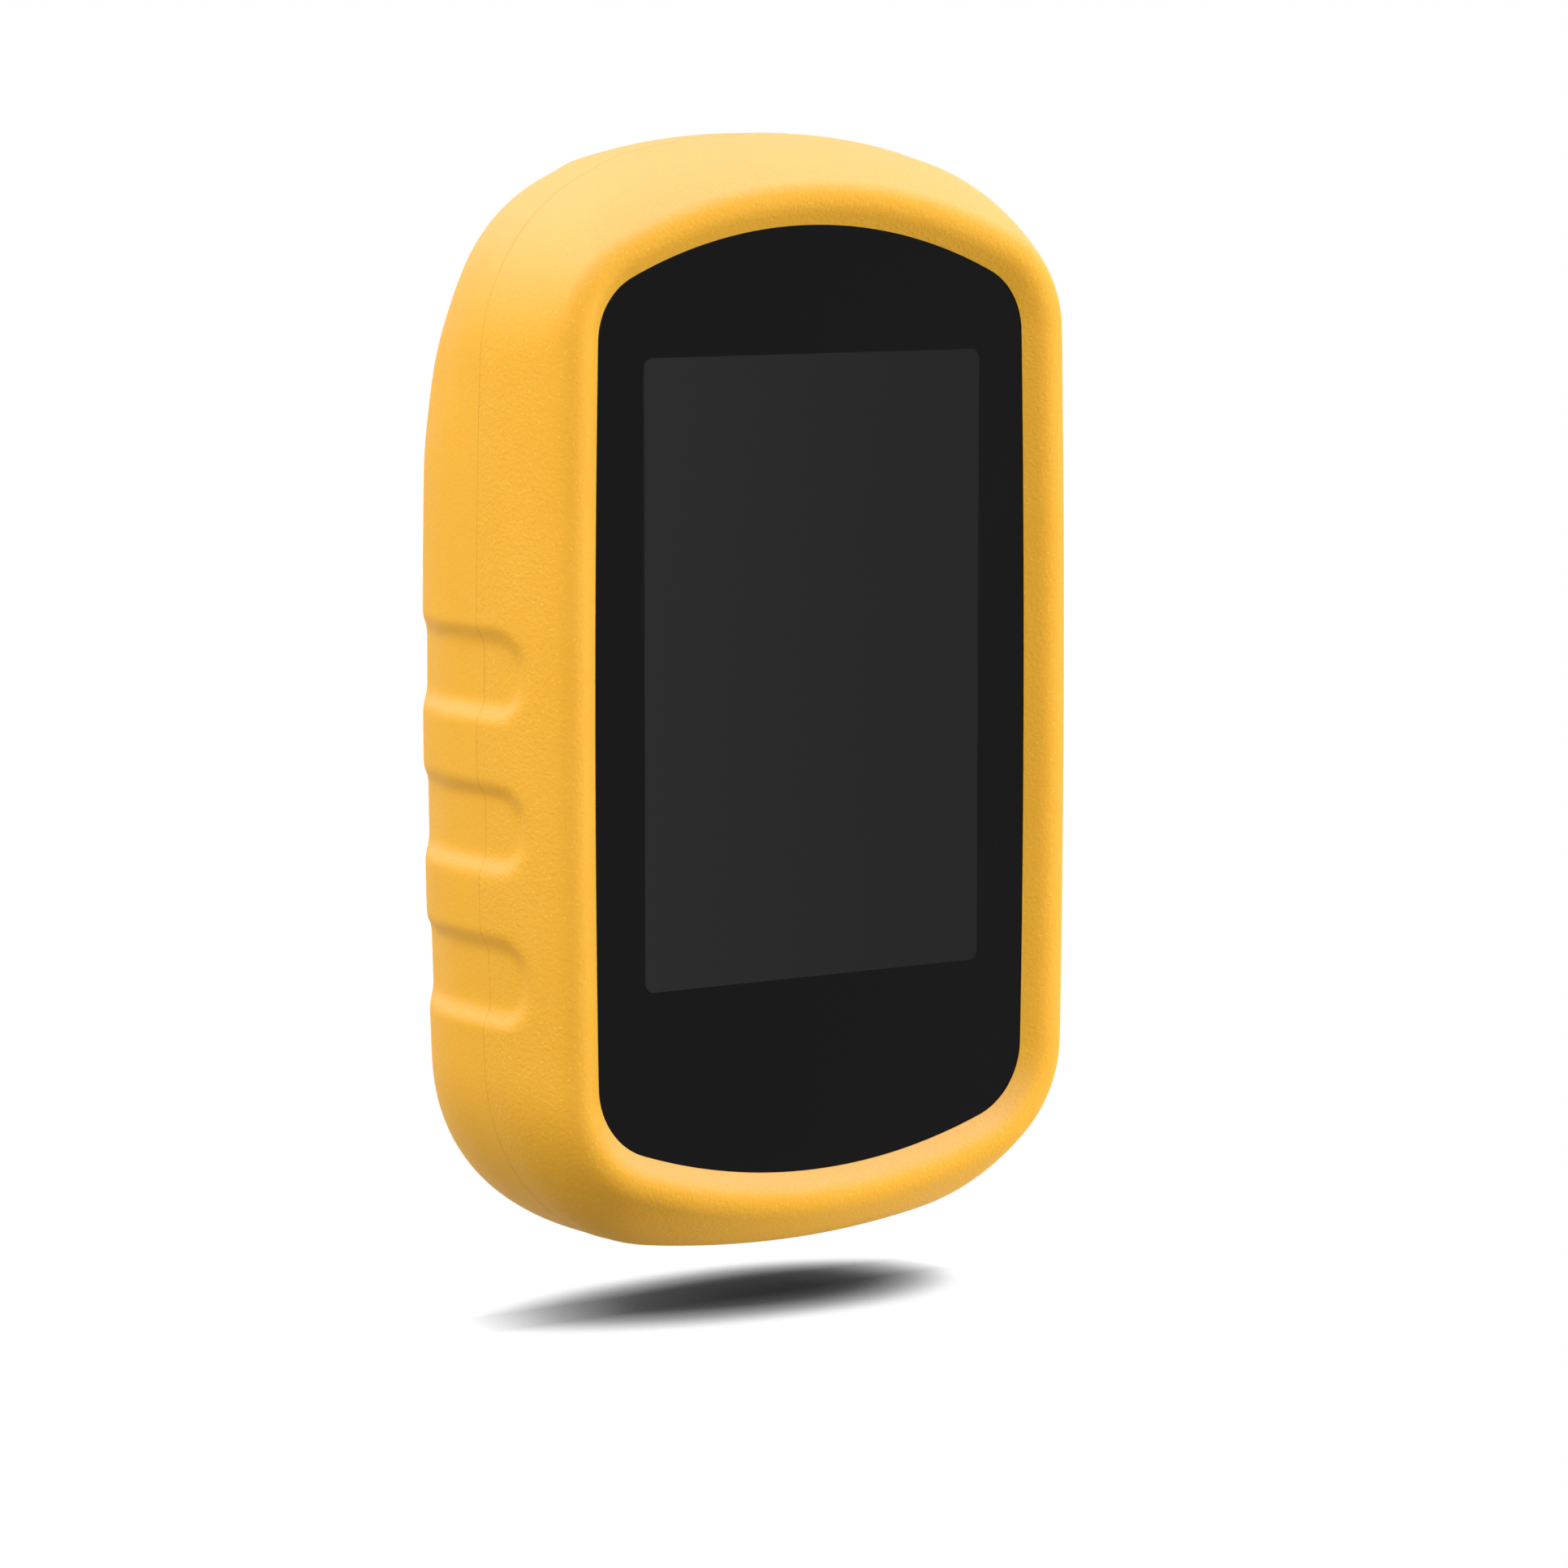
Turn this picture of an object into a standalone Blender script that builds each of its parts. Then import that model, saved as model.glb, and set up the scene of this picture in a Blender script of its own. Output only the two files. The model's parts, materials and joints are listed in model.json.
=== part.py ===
"""A touch-screen handheld satellite navigator in a moulded silicone sleeve.

Metres. +Z runs up the long axis, the screen faces -Y, and the origin is below the middle of the foot.
"""

import math
from collections import namedtuple

import bmesh
import bpy
from mathutils import Vector

# Overall form, measured over the sleeve: its height and depth come from what it holds
WIDTH = 0.0630
SIDE_RADIUS = 0.830
TOP_RADIUS = 0.0613
BOTTOM_RADIUS = 0.1080
TOP_CORNER = 0.0207
BOTTOM_CORNER = 0.0185
BACK_ROUND = 0.0189
BACK_FLAT_WIDTH = 0.0290
BACK_FLAT_BOTTOM = 0.0050
BACK_FLAT_DROP = 0.0190
BACK_FLAT_TOP_RADIUS = 0.0500
BACK_FLAT_TOP_CORNER = 0.0140
BACK_FLAT_BOTTOM_CORNER = 0.0080

# Gap between pieces that touch
FIT = 0.0003

# Sleeve
SLEEVE_WALL = 0.0016
SLEEVE_TOP_RIM = 0.0082
LIP_RISE = 0.0016
LIP_WIDTH = 0.0027
LIP_ROUND = 0.0023
LIP_INNER_TURN = math.radians(40)
LIP_OUTER_TURN = math.radians(55)
LIP_EDGE = 0.00015
GROOVE_COUNT = 3
GROOVE_PITCH = 0.0141
GROOVE_LOWEST_Z = 0.0273
GROOVE_HEIGHT = 0.0074
GROOVE_DEPTH = 0.00075
GROOVE_SLOPE = 0.0012
GROOVE_FADE = 0.0090
GROOVE_FRONT_MARGIN = 0.0050
GROOVE_BACK_MARGIN = 0.0030
PAD_WIDTH = 0.0350
PAD_LENGTH = 0.0100
PAD_CENTRE_Y = -0.0028
PAD_RISE = 0.0003
PAD_CORNER = 0.0020
SLEEVE_OPENING_MARGIN = 0.0012

# Glass and the window in the sleeve's front
SIDE_BORDER = 0.00695
TOP_BORDER = 0.0082
BOTTOM_BORDER = 0.0078
APERTURE_WIDEST_DROP = 0.0069
APERTURE_SIDE_RADIUS = 0.700
APERTURE_TOP_RADIUS = 0.0475
APERTURE_BOTTOM_RADIUS = 0.0586
APERTURE_TOP_CORNER = 0.0065
APERTURE_BOTTOM_CORNER = 0.0080
GLASS_MARGIN = 0.0006
GLASS_THICKNESS = 0.0010
ADHESIVE_THICKNESS = 0.0004
ADHESIVE_WIDTH = 0.0024
MASK_THICKNESS = 0.0003

# Display
DISPLAY_RAISE = 0.00325
SCREEN_BORDER = 0.0056
DISPLAY_HEIGHT = 0.0581
DISPLAY_CORNER = 0.0008
PANEL_MARGIN = 0.0012
PANEL_THICKNESS = 0.0016
BACKLIGHT_THICKNESS = 0.0018
CHASSIS_THICKNESS = 0.0008

# Housing
BEZEL_WALL = 0.0016
BEZEL_TAPER = 0.0006
BEZEL_PLATE = 0.0010
BEZEL_SKIRT = 0.0004
REAR_WALL = 0.0017
BACK_WALL = 0.0058
SEAL_THICKNESS = 0.0005
SEAL_WIDTH = 0.0011
BOSS_RADIUS = 0.0029
BOSS_EDGE_X = 0.0093
BOSS_LOW_Z = 0.0130
BOSS_TOP_MARGIN = 0.0150
SCREW_RADIUS = 0.0011
SCREW_HEAD_RADIUS = 0.0019
SCREW_HEAD_HEIGHT = 0.0015
SCREW_HEAD_BEVEL = 0.0004
SCREW_GRIP = 0.0090

# Electronics: places on the board are measured from its middle
BOARD_THICKNESS = 0.0012
BOARD_EDGE = 0.0006
BOARD_CORNER = 0.0060
CHIP_HEIGHT = 0.0010
PROCESSOR_SIDE = 0.0140
PROCESSOR_PLACE = (-0.0080, 0.0070)
MEMORY_SIDE = 0.0110
MEMORY_PLACE = (0.0100, -0.0110)
SHIELD_HEIGHT = 0.0016
SHIELD_CORNER = 0.0010
RECEIVER_SIZE = (0.0280, 0.0180)
RECEIVER_PLACE = (0.0, 0.0240)
POWER_SIZE = (0.0220, 0.0260)
POWER_PLACE = (0.0040, -0.0110)
ANTENNA_SIDE = 0.0115
ANTENNA_THICKNESS = 0.0028
ANTENNA_CORNER = 0.0010
BRACKET_THICKNESS = 0.0008
BRACKET_FOOT = 0.0032
BEEPER_RADIUS = 0.0050
BEEPER_HEIGHT = 0.0030
BEEPER_BEVEL = 0.0008

# Cells and their bay
CELL_DIAMETER = 0.0145
CELL_LENGTH = 0.0505
CELL_EDGE = 0.0008
CELL_NUB_RADIUS = 0.00265
CELL_NUB_HEIGHT = 0.0011
CELL_SPACING = 0.0006
SPRING_HEIGHT = 0.0046
SPRING_TURNS = 3
SPRING_WIRE = 0.0007
SPRING_WIDE = 0.0042
SPRING_NARROW = 0.0026
CONTACT_THICKNESS = 0.0005
CONTACT_CORNER = 0.0010
BAY_WALL = 0.0012

# Door, its rail and its lock
DOOR_BOTTOM_Z = 0.0068
DOOR_MARGIN = 0.0022
DOOR_CORNER = 0.0045
DOOR_RIM = 0.0030
DOOR_PANEL = 0.0015
DOOR_POCKET_CORNER = 0.0020
DOOR_SEAL_THICKNESS = 0.0008
DOOR_SEAL_WIDTH = 0.0012
RAIL_LENGTH = 0.0320
RAIL_RAISE = 0.0101
RAIL_HEAD_WIDTH = 0.0130
RAIL_HEAD_CORNER = 0.0030
RAIL_NECK_WIDTH = 0.0090
RAIL_NECK_CORNER = 0.0020
RAIL_HEAD_THICKNESS = 0.0009
RAIL_SCREW_RADIUS = 0.0009
RAIL_SCREW_HEAD = 0.0017
RAIL_SCREW_END = 0.0060
LOCK_HEAD_RADIUS = 0.0040
LOCK_STEM_RADIUS = 0.0024
LOCK_DISH_DEPTH = 0.0030
LOCK_BOSS_FLOOR = 0.0017
LOCK_BOSS_WALL = 0.0009
RING_REACH = 0.0050
RING_WIRE = 0.0013
RING_SIDE_GAP = 0.0004
CLIP_THICKNESS = 0.0007
CLIP_RADIUS = 0.0038
KEEPER_THICKNESS = 0.0015
CAM_LENGTH = 0.0106
CAM_WIDTH = 0.0036
CAM_THICKNESS = 0.0017
CAM_CORNER = 0.0010
LOCK_CLEARANCE = 0.0005
DISH_CLEARANCE = 0.0006

# Port and its rubber cap
PORT_WIDTH = 0.0094
PORT_HEIGHT = 0.0056
PORT_CORNER = 0.0008
SOCKET_WIDTH = 0.0078
SOCKET_HEIGHT = 0.0036
SOCKET_DEPTH = 0.0046
SOCKET_SHEET = 0.00045
SOCKET_CORNER = 0.0006
CAP_DOOR_GAP = 0.0016
CAP_WIDTH = 0.0150
CAP_HEIGHT = 0.0074
CAP_THICKNESS = 0.0016
CAP_CORNER = 0.0018
CAP_SINK = 0.0032
CAP_ROLL_RADIUS = 0.0008
PLUG_WIDTH = 0.0076
PLUG_HEIGHT = 0.0030
PLUG_DEPTH = 0.0010
PORT_BOARD_THICKNESS = 0.0010

# Power key, on the right-hand side
KEY_BOARD_GAP = 0.0024
KEY_TOP_MARGIN = 0.0280
KEY_WIDTH = 0.0048
KEY_LENGTH = 0.0130
KEY_FLANGE = 0.0009
KEY_FLANGE_THICKNESS = 0.0010
KEY_TRAVEL = 0.0006
KEY_SINK = 0.0002
KEY_WINDOW_MARGIN = 0.0009
SWITCH_WIDTH = 0.0060
SWITCH_DEPTH = 0.0028
SWITCH_HEIGHT = 0.0036
SWITCH_STEM_RADIUS = 0.0010

# Facets of round shapes
END_STEPS = 3
CORNER_STEPS = 6
SIDE_STEPS = 4
ROUND_STEPS = 6
LIP_STEPS = 2
FLANK_STEPS = 3
CIRCLE_STEPS = 24
SMALL_STEPS = 12
SLOT_STEPS = 5
SPRING_STEPS = 9
RING_STEPS = 16

# The housing's skin lies one sleeve wall and one gap inside the sleeve's skin
SKIN = SLEEVE_WALL + FIT
CAVITY_INSET = SKIN + REAR_WALL

# Across the front: the sleeve's border, the glass border inside it and the screen between them
DISPLAY_WIDTH = WIDTH - 2 * (SIDE_BORDER + SCREEN_BORDER)

# Depths of the stack from the crest of the sleeve's lip: glass, display, board, cells and door
ADHESIVE_DEPTH = LIP_RISE + GLASS_THICKNESS + FIT
PANEL_DEPTH = ADHESIVE_DEPTH + MASK_THICKNESS + FIT
BACKLIGHT_DEPTH = PANEL_DEPTH + PANEL_THICKNESS + FIT
CHASSIS_DEPTH = BACKLIGHT_DEPTH + BACKLIGHT_THICKNESS + FIT
BOARD_DEPTH = CHASSIS_DEPTH + CHASSIS_THICKNESS + CHIP_HEIGHT + 2 * FIT
SHIELD_DEPTH = BOARD_DEPTH + BOARD_THICKNESS + FIT
BAY_DEPTH = SHIELD_DEPTH + SHIELD_HEIGHT + FIT + BAY_WALL
DEPTH = BAY_DEPTH + CELL_DIAMETER + 2 * FIT + DOOR_PANEL + SKIN

# Levels from the front of the sleeve's lip to the back
CREST_Y = -DEPTH / 2
BACK_Y = DEPTH / 2
WIDEST_BACK_Y = BACK_Y - BACK_ROUND
GLASS_Y = CREST_Y + LIP_RISE
FLANK_START = LIP_WIDTH + LIP_ROUND * math.sin(LIP_OUTER_TURN)
FLANK_RADIUS = (SIDE_BORDER - FLANK_START) / (1 - math.sin(LIP_OUTER_TURN))
FLANK_Y = CREST_Y + LIP_ROUND + (FLANK_RADIUS - LIP_ROUND) * math.cos(LIP_OUTER_TURN)
ADHESIVE_Y = CREST_Y + ADHESIVE_DEPTH
PLATE_Y = ADHESIVE_Y + ADHESIVE_THICKNESS + FIT
PLATE_BACK_Y = PLATE_Y + BEZEL_PLATE
PANEL_Y = CREST_Y + PANEL_DEPTH
BACKLIGHT_Y = CREST_Y + BACKLIGHT_DEPTH
CHASSIS_Y = CREST_Y + CHASSIS_DEPTH
BOARD_Y = CREST_Y + BOARD_DEPTH
BOARD_BACK_Y = BOARD_Y + BOARD_THICKNESS
SHIELD_Y = CREST_Y + SHIELD_DEPTH
BEZEL_END_Y = FLANK_Y + BEZEL_SKIRT
SEAL_Y = BEZEL_END_Y + FIT
REAR_Y = SEAL_Y + SEAL_THICKNESS + FIT
BACK_SKIN_Y = BACK_Y - SKIN
BACK_WALL_Y = BACK_SKIN_Y - BACK_WALL
SCREW_SEAT_Y = BOARD_BACK_Y + SCREW_GRIP

# Heights up the back: the door's foot, the lock, the bay, the door's top, the port and the sleeve's rim
DISH_RADIUS = RING_REACH + RING_WIRE / 2 + DISH_CLEARANCE
LOCK_BOSS_RADIUS = DISH_RADIUS + LOCK_BOSS_WALL
LOCK_Z = DOOR_BOTTOM_Z + DOOR_MARGIN + FIT + LOCK_BOSS_RADIUS
BAY_BOTTOM_Z = LOCK_Z + LOCK_BOSS_RADIUS + FIT + BAY_WALL
BAY_TOP_Z = BAY_BOTTOM_Z + CELL_LENGTH + SPRING_HEIGHT + 2 * CONTACT_THICKNESS + 5 * FIT
DOOR_TOP_Z = BAY_TOP_Z + DOOR_MARGIN
CAP_BOTTOM_Z = DOOR_TOP_Z + CAP_DOOR_GAP
PORT_Z = CAP_BOTTOM_Z + CAP_HEIGHT / 2
CAP_HINGE_Z = CAP_BOTTOM_Z + CAP_HEIGHT
OPENING_BOTTOM_Z = DOOR_BOTTOM_Z - SLEEVE_OPENING_MARGIN
OPENING_TOP_Z = CAP_HINGE_Z + CAP_ROLL_RADIUS + SLEEVE_OPENING_MARGIN
HEIGHT = OPENING_TOP_Z + SLEEVE_TOP_RIM

# Heights that follow the overall height
WIDEST_Z = HEIGHT / 2
APERTURE_TOP = HEIGHT - TOP_BORDER
DISPLAY_CENTRE_Z = (BOTTOM_BORDER + APERTURE_TOP) / 2 + DISPLAY_RAISE
BOSS_HIGH_Z = HEIGHT - BOSS_TOP_MARGIN
BOARD_CENTRE_Z = (BOSS_LOW_Z + BOSS_HIGH_Z) / 2
RAIL_CENTRE_Z = (DOOR_BOTTOM_Z + DOOR_TOP_Z) / 2 + RAIL_RAISE

# Bay levels
CELL_RADIUS = CELL_DIAMETER / 2
CELL_X = CELL_RADIUS + CELL_SPACING / 2
DOOR_POCKET_Y = BACK_SKIN_Y - DOOR_PANEL
CELL_Y = DOOR_POCKET_Y - FIT - CELL_RADIUS
BAY_FLOOR_Y = CELL_Y - CELL_RADIUS - FIT
BAY_HALF = CELL_X + CELL_RADIUS + FIT

# Door levels
DOOR_HALF = BAY_HALF + BAY_WALL + DOOR_SEAL_WIDTH + FIT + DOOR_MARGIN / 2
DOOR_EDGE_Y = BACK_SKIN_Y - DOOR_RIM
DOOR_SEAL_Y = DOOR_EDGE_Y - FIT - DOOR_SEAL_THICKNESS
LEDGE_Y = DOOR_SEAL_Y - FIT
RAIL_Y = BACK_SKIN_Y + FIT
OPENING_HALF = DOOR_HALF + SLEEVE_OPENING_MARGIN

# Lock levels, from the back inwards
DISH_FLOOR_Y = BACK_SKIN_Y - LOCK_DISH_DEPTH
RING_Y = DISH_FLOOR_Y + FIT + (LOCK_DISH_DEPTH - FIT) / 2
BOSS_END_Y = DISH_FLOOR_Y - LOCK_BOSS_FLOOR
CLIP_Y = BOSS_END_Y - FIT - CLIP_THICKNESS
KEEPER_Y = CLIP_Y - LOCK_CLEARANCE - KEEPER_THICKNESS
CAM_Y = KEEPER_Y - FIT - CAM_THICKNESS
LOCK_CAVITY_Y = CAM_Y - LOCK_CLEARANCE
RING_HALF = LOCK_HEAD_RADIUS + RING_SIDE_GAP + RING_WIRE / 2
LOCK_SWEEP = math.hypot(CAM_LENGTH / 2, CAM_WIDTH / 2) + LOCK_CLEARANCE

# Cap and key levels
CAP_FACE_Y = BACK_SKIN_Y - CAP_SINK
CAP_SEAT_Y = CAP_FACE_Y - CAP_THICKNESS
CAP_HINGE_Y = CAP_FACE_Y - CAP_ROLL_RADIUS
KEY_Y = BOARD_BACK_Y + KEY_BOARD_GAP
KEY_Z = HEIGHT - KEY_TOP_MARGIN

# Farther out than any piece, for cuts that run right through
FAR = DEPTH + WIDTH

Outline = namedtuple(
    "Outline",
    "half bottom top side_radius widest_z top_radius bottom_radius top_corner bottom_corner",
)
WIDEST = Outline(
    WIDTH / 2,
    0.0,
    HEIGHT,
    SIDE_RADIUS,
    WIDEST_Z,
    TOP_RADIUS,
    BOTTOM_RADIUS,
    TOP_CORNER,
    BOTTOM_CORNER,
)
APERTURE = Outline(
    WIDTH / 2 - SIDE_BORDER,
    BOTTOM_BORDER,
    APERTURE_TOP,
    APERTURE_SIDE_RADIUS,
    WIDEST_Z - APERTURE_WIDEST_DROP,
    APERTURE_TOP_RADIUS,
    APERTURE_BOTTOM_RADIUS,
    APERTURE_TOP_CORNER,
    APERTURE_BOTTOM_CORNER,
)
REAR_FLAT = Outline(
    BACK_FLAT_WIDTH / 2,
    BACK_FLAT_BOTTOM,
    HEIGHT - BACK_FLAT_DROP,
    SIDE_RADIUS,
    WIDEST_Z,
    BACK_FLAT_TOP_RADIUS,
    BOTTOM_RADIUS,
    BACK_FLAT_TOP_CORNER,
    BACK_FLAT_BOTTOM_CORNER,
)


def clear_scene():
    for obj in list(bpy.data.objects):
        bpy.data.objects.remove(obj, do_unlink=True)


def material(name, colour, roughness, metallic=0.0):
    made = bpy.data.materials.new(name)
    made.use_nodes = True
    shader = made.node_tree.nodes["Principled BSDF"]
    shader.inputs["Base Color"].default_value = (*colour, 1.0)
    shader.inputs["Roughness"].default_value = roughness
    shader.inputs["Metallic"].default_value = metallic
    made.diffuse_color = (*colour, 1.0)
    return made


def circle_meeting(first, first_radius, second, second_radius, upper):
    """The right-hand point where two circles meet, the upper or the lower of the two."""
    apart = second - first
    along = (first_radius**2 - second_radius**2 + apart.length_squared) / (2 * apart.length)
    aside = math.sqrt(max(first_radius**2 - along**2, 0.0))
    direction = apart.normalized()
    across = Vector((-direction.y, direction.x))
    found = [first + direction * along + across * aside * sign for sign in (1, -1)]
    return max(found, key=lambda point: point.x + (point.y if upper else -point.y))


def arc(centre, radius, start, end, steps):
    """Points along an arc, without its last one."""
    angles = [start + (end - start) * i / steps for i in range(steps)]
    return [centre + radius * Vector((math.cos(a), math.sin(a))) for a in angles]


def angle_of(vector):
    return math.atan2(vector.y, vector.x)


def outline_points(shape, inset=0.0):
    """A closed outline of tangent arcs in the XZ plane, drawn in by an even distance."""
    low = Vector((0, shape.bottom + shape.bottom_radius))
    high = Vector((0, shape.top - shape.top_radius))
    side = Vector((shape.half - shape.side_radius, shape.widest_z))
    low_corner = circle_meeting(
        low,
        shape.bottom_radius - shape.bottom_corner,
        side,
        shape.side_radius - shape.bottom_corner,
        False,
    )
    high_corner = circle_meeting(
        high,
        shape.top_radius - shape.top_corner,
        side,
        shape.side_radius - shape.top_corner,
        True,
    )
    turns = (
        -math.pi / 2,
        angle_of(low_corner - low),
        angle_of(low_corner - side),
        angle_of(high_corner - side),
        angle_of(high_corner - high),
        math.pi / 2,
    )
    arcs = (
        (low, shape.bottom_radius, END_STEPS),
        (low_corner, shape.bottom_corner, CORNER_STEPS),
        (side, shape.side_radius, SIDE_STEPS),
        (high_corner, shape.top_corner, CORNER_STEPS),
        (high, shape.top_radius, END_STEPS),
    )
    right = []
    for (centre, radius, steps), start, end in zip(arcs, turns, turns[1:]):
        right += arc(centre, radius - inset, start, end, steps)
    tip = Vector((0, shape.top - inset))
    left = [Vector((-point.x, point.y)) for point in reversed(right[1:])]
    return right + [tip] + left


def ring_at(points, y):
    return [Vector((point.x, y, point.y)) for point in points]


def ring_between(first, second, share, y):
    return ring_at([a.lerp(b, share) for a, b in zip(first, second)], y)


def back_ring(turn, inset):
    """One section of the rounded back, from the widest section at turn 0 to the flat at turn 1."""
    angle = turn * math.pi / 2
    y = WIDEST_BACK_Y + (BACK_Y - inset - WIDEST_BACK_Y) * math.sin(angle)
    wide = outline_points(WIDEST, inset)
    flat = outline_points(REAR_FLAT, inset)
    return ring_between(wide, flat, 1 - math.cos(angle), y)


def flank_ring(turn, inset):
    """One section of the flank behind the lip, where its face has turned this far, drawn in evenly."""
    first = math.sin(LIP_OUTER_TURN)
    share = (math.sin(turn) - first) / (1 - first)
    start = outline_points(APERTURE, inset * first - FLANK_START)
    y = FLANK_Y - (FLANK_RADIUS - inset) * math.cos(turn)
    return ring_between(start, outline_points(WIDEST, inset), share, y)


def flank_rings(first, inset):
    """Sections of the flank from a first turn to where it meets the side wall."""
    step = (math.pi / 2 - first) / FLANK_STEPS
    return [flank_ring(first + i * step, inset) for i in range(FLANK_STEPS + 1)]


def flank_turn(y, inset):
    """The turn at which the flank, drawn in evenly, comes to this depth."""
    return math.acos((FLANK_Y - y) / (FLANK_RADIUS - inset))


def lip_rings():
    """Sections of the sleeve's lip, from its inner slope over the crest to where the flank starts."""
    turns = [LIP_INNER_TURN * (i / LIP_STEPS - 1) for i in range(LIP_STEPS)]
    turns += [LIP_OUTER_TURN * i / LIP_STEPS for i in range(LIP_STEPS)]
    rings = []
    for turn in turns:
        grown = outline_points(APERTURE, -LIP_WIDTH - LIP_ROUND * math.sin(turn))
        rings.append(ring_at(grown, CREST_Y + LIP_ROUND * (1 - math.cos(turn))))
    return rings


def turns_to(last):
    return [last * i / ROUND_STEPS for i in range(ROUND_STEPS + 1)]


def half_width_at(z, inset):
    """How far the side wall is from the middle at this height."""
    radius = SIDE_RADIUS - inset
    return WIDTH / 2 - SIDE_RADIUS + math.sqrt(radius**2 - (z - WIDEST_Z) ** 2)


def wall_x(y, z, inset):
    """How far the sleeve's side wall is from the middle at this height, also where its edges round."""
    front = max(0.0, FLANK_Y - y)
    back = max(0.0, y - WIDEST_BACK_Y) / (BACK_Y - inset - WIDEST_BACK_Y)
    front_draw = FLANK_RADIUS - math.sqrt(FLANK_RADIUS**2 - front**2)
    back_draw = (1 - math.sqrt(1 - back**2)) * (WIDTH - BACK_FLAT_WIDTH) / 2
    return half_width_at(z, inset) - front_draw - back_draw


def loft(rings, closed=False):
    """A solid through rings of equally many points: capped at both ends, or joined end to end."""
    mesh = bmesh.new()
    loops = [[mesh.verts.new(point) for point in ring] for ring in rings]
    follow = loops[1:] + loops[:1] if closed else loops[1:]
    for near, far in zip(loops, follow):
        for i in range(len(near)):
            j = (i + 1) % len(near)
            mesh.faces.new((near[i], near[j], far[j], far[i]))
    if not closed:
        mesh.faces.new(loops[0])
        mesh.faces.new(loops[-1])
    bmesh.ops.recalc_face_normals(mesh, faces=mesh.faces)
    return mesh


def placed(point, axis, level):
    """A point of a flat outline, set at a level along an axis."""
    if axis == "X":
        return Vector((level, point.x, point.y))
    if axis == "Y":
        return Vector((point.x, level, point.y))
    return Vector((point.x, point.y, level))


def prism(points, axis, start, end):
    return loft([[placed(point, axis, level) for point in points] for level in (start, end)])


def rectangle(centre, width, height, radius=0.0, steps=3):
    """A rectangle in a plane, with round corners where a radius is given."""
    reach = Vector((width / 2 - radius, height / 2 - radius))
    points = []
    for quarter, signs in enumerate(((1, 1), (-1, 1), (-1, -1), (1, -1))):
        middle = Vector(centre) + reach * Vector(signs)
        if not radius:
            points.append(middle)
            continue
        start = quarter * math.pi / 2
        end = start + math.pi / 2
        points += arc(middle, radius, start, end, steps)
        points.append(middle + radius * Vector((math.cos(end), math.sin(end))))
    return points


def span_rectangle(left, right, bottom, top, radius=0.0, steps=3):
    middle = ((left + right) / 2, (bottom + top) / 2)
    return rectangle(middle, right - left, top - bottom, radius, steps)


def circle(centre, radius, steps=CIRCLE_STEPS):
    return arc(Vector(centre), radius, 0, 2 * math.pi, steps)


def turned(profile, axis, centre, steps=CIRCLE_STEPS):
    """A solid turned about an axis, from (radius, level) pairs."""
    rings = []
    for radius, level in profile:
        rings.append([placed(point, axis, level) for point in circle(centre, radius, steps)])
    return loft(rings)


def disc(axis, centre, radius, start, end, steps=CIRCLE_STEPS):
    return turned(((radius, start), (radius, end)), axis, centre, steps)


def tray(axis, outer, inner, start, end):
    """A flat ring between two outlines of equally many points."""
    corners = ((outer, start), (outer, end), (inner, end), (inner, start))
    rings = [[placed(point, axis, level) for point in points] for points, level in corners]
    return loft(rings, closed=True)


def piece(name, mesh, finish, origin=(0, 0, 0)):
    """One named object, with its own origin and its faces out."""
    data = bpy.data.meshes.new(name)
    bmesh.ops.translate(mesh, verts=mesh.verts, vec=-Vector(origin))
    mesh.to_mesh(data)
    mesh.free()
    made = bpy.data.objects.new(name, data)
    made.location = origin
    bpy.context.scene.collection.objects.link(made)
    data.materials.append(finish)
    return made


def combine(target, mesh, operation):
    """Join a shape to a piece, or cut it away."""
    data = bpy.data.meshes.new("tool")
    mesh.to_mesh(data)
    mesh.free()
    tool = bpy.data.objects.new("tool", data)
    bpy.context.scene.collection.objects.link(tool)
    modifier = target.modifiers.new("combine", "BOOLEAN")
    modifier.operation = operation
    modifier.object = tool
    graph = bpy.context.evaluated_depsgraph_get()
    result = bpy.data.meshes.new_from_object(target.evaluated_get(graph))
    target.modifiers.clear()
    before = target.data
    target.data = result
    bpy.data.meshes.remove(before)
    bpy.data.objects.remove(tool, do_unlink=True)


def cut(target, *meshes):
    for mesh in meshes:
        combine(target, mesh, "DIFFERENCE")


def join(target, *meshes):
    for mesh in meshes:
        combine(target, mesh, "UNION")


def keep_within(target, mesh):
    combine(target, mesh, "INTERSECT")


def carry(parent, *children):
    """Hang pieces on the piece that carries them, where they already are."""
    for child in children:
        child.parent = parent
        child.location = Vector(child.location) - Vector(parent.location)


def shade(angle=math.radians(35)):
    for obj in bpy.data.objects:
        if obj.type == "MESH":
            obj.data.shade_smooth()
            obj.data.set_sharp_from_angle(angle=angle)


def sleeve_skin(inset):
    """A solid of the sleeve's outer form behind its lip, drawn in by an even distance."""
    rings = [ring_at(outline_points(WIDEST, inset), FLANK_Y)]
    rings += [back_ring(turn, inset) for turn in turns_to(1.0)]
    return loft(rings)


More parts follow.
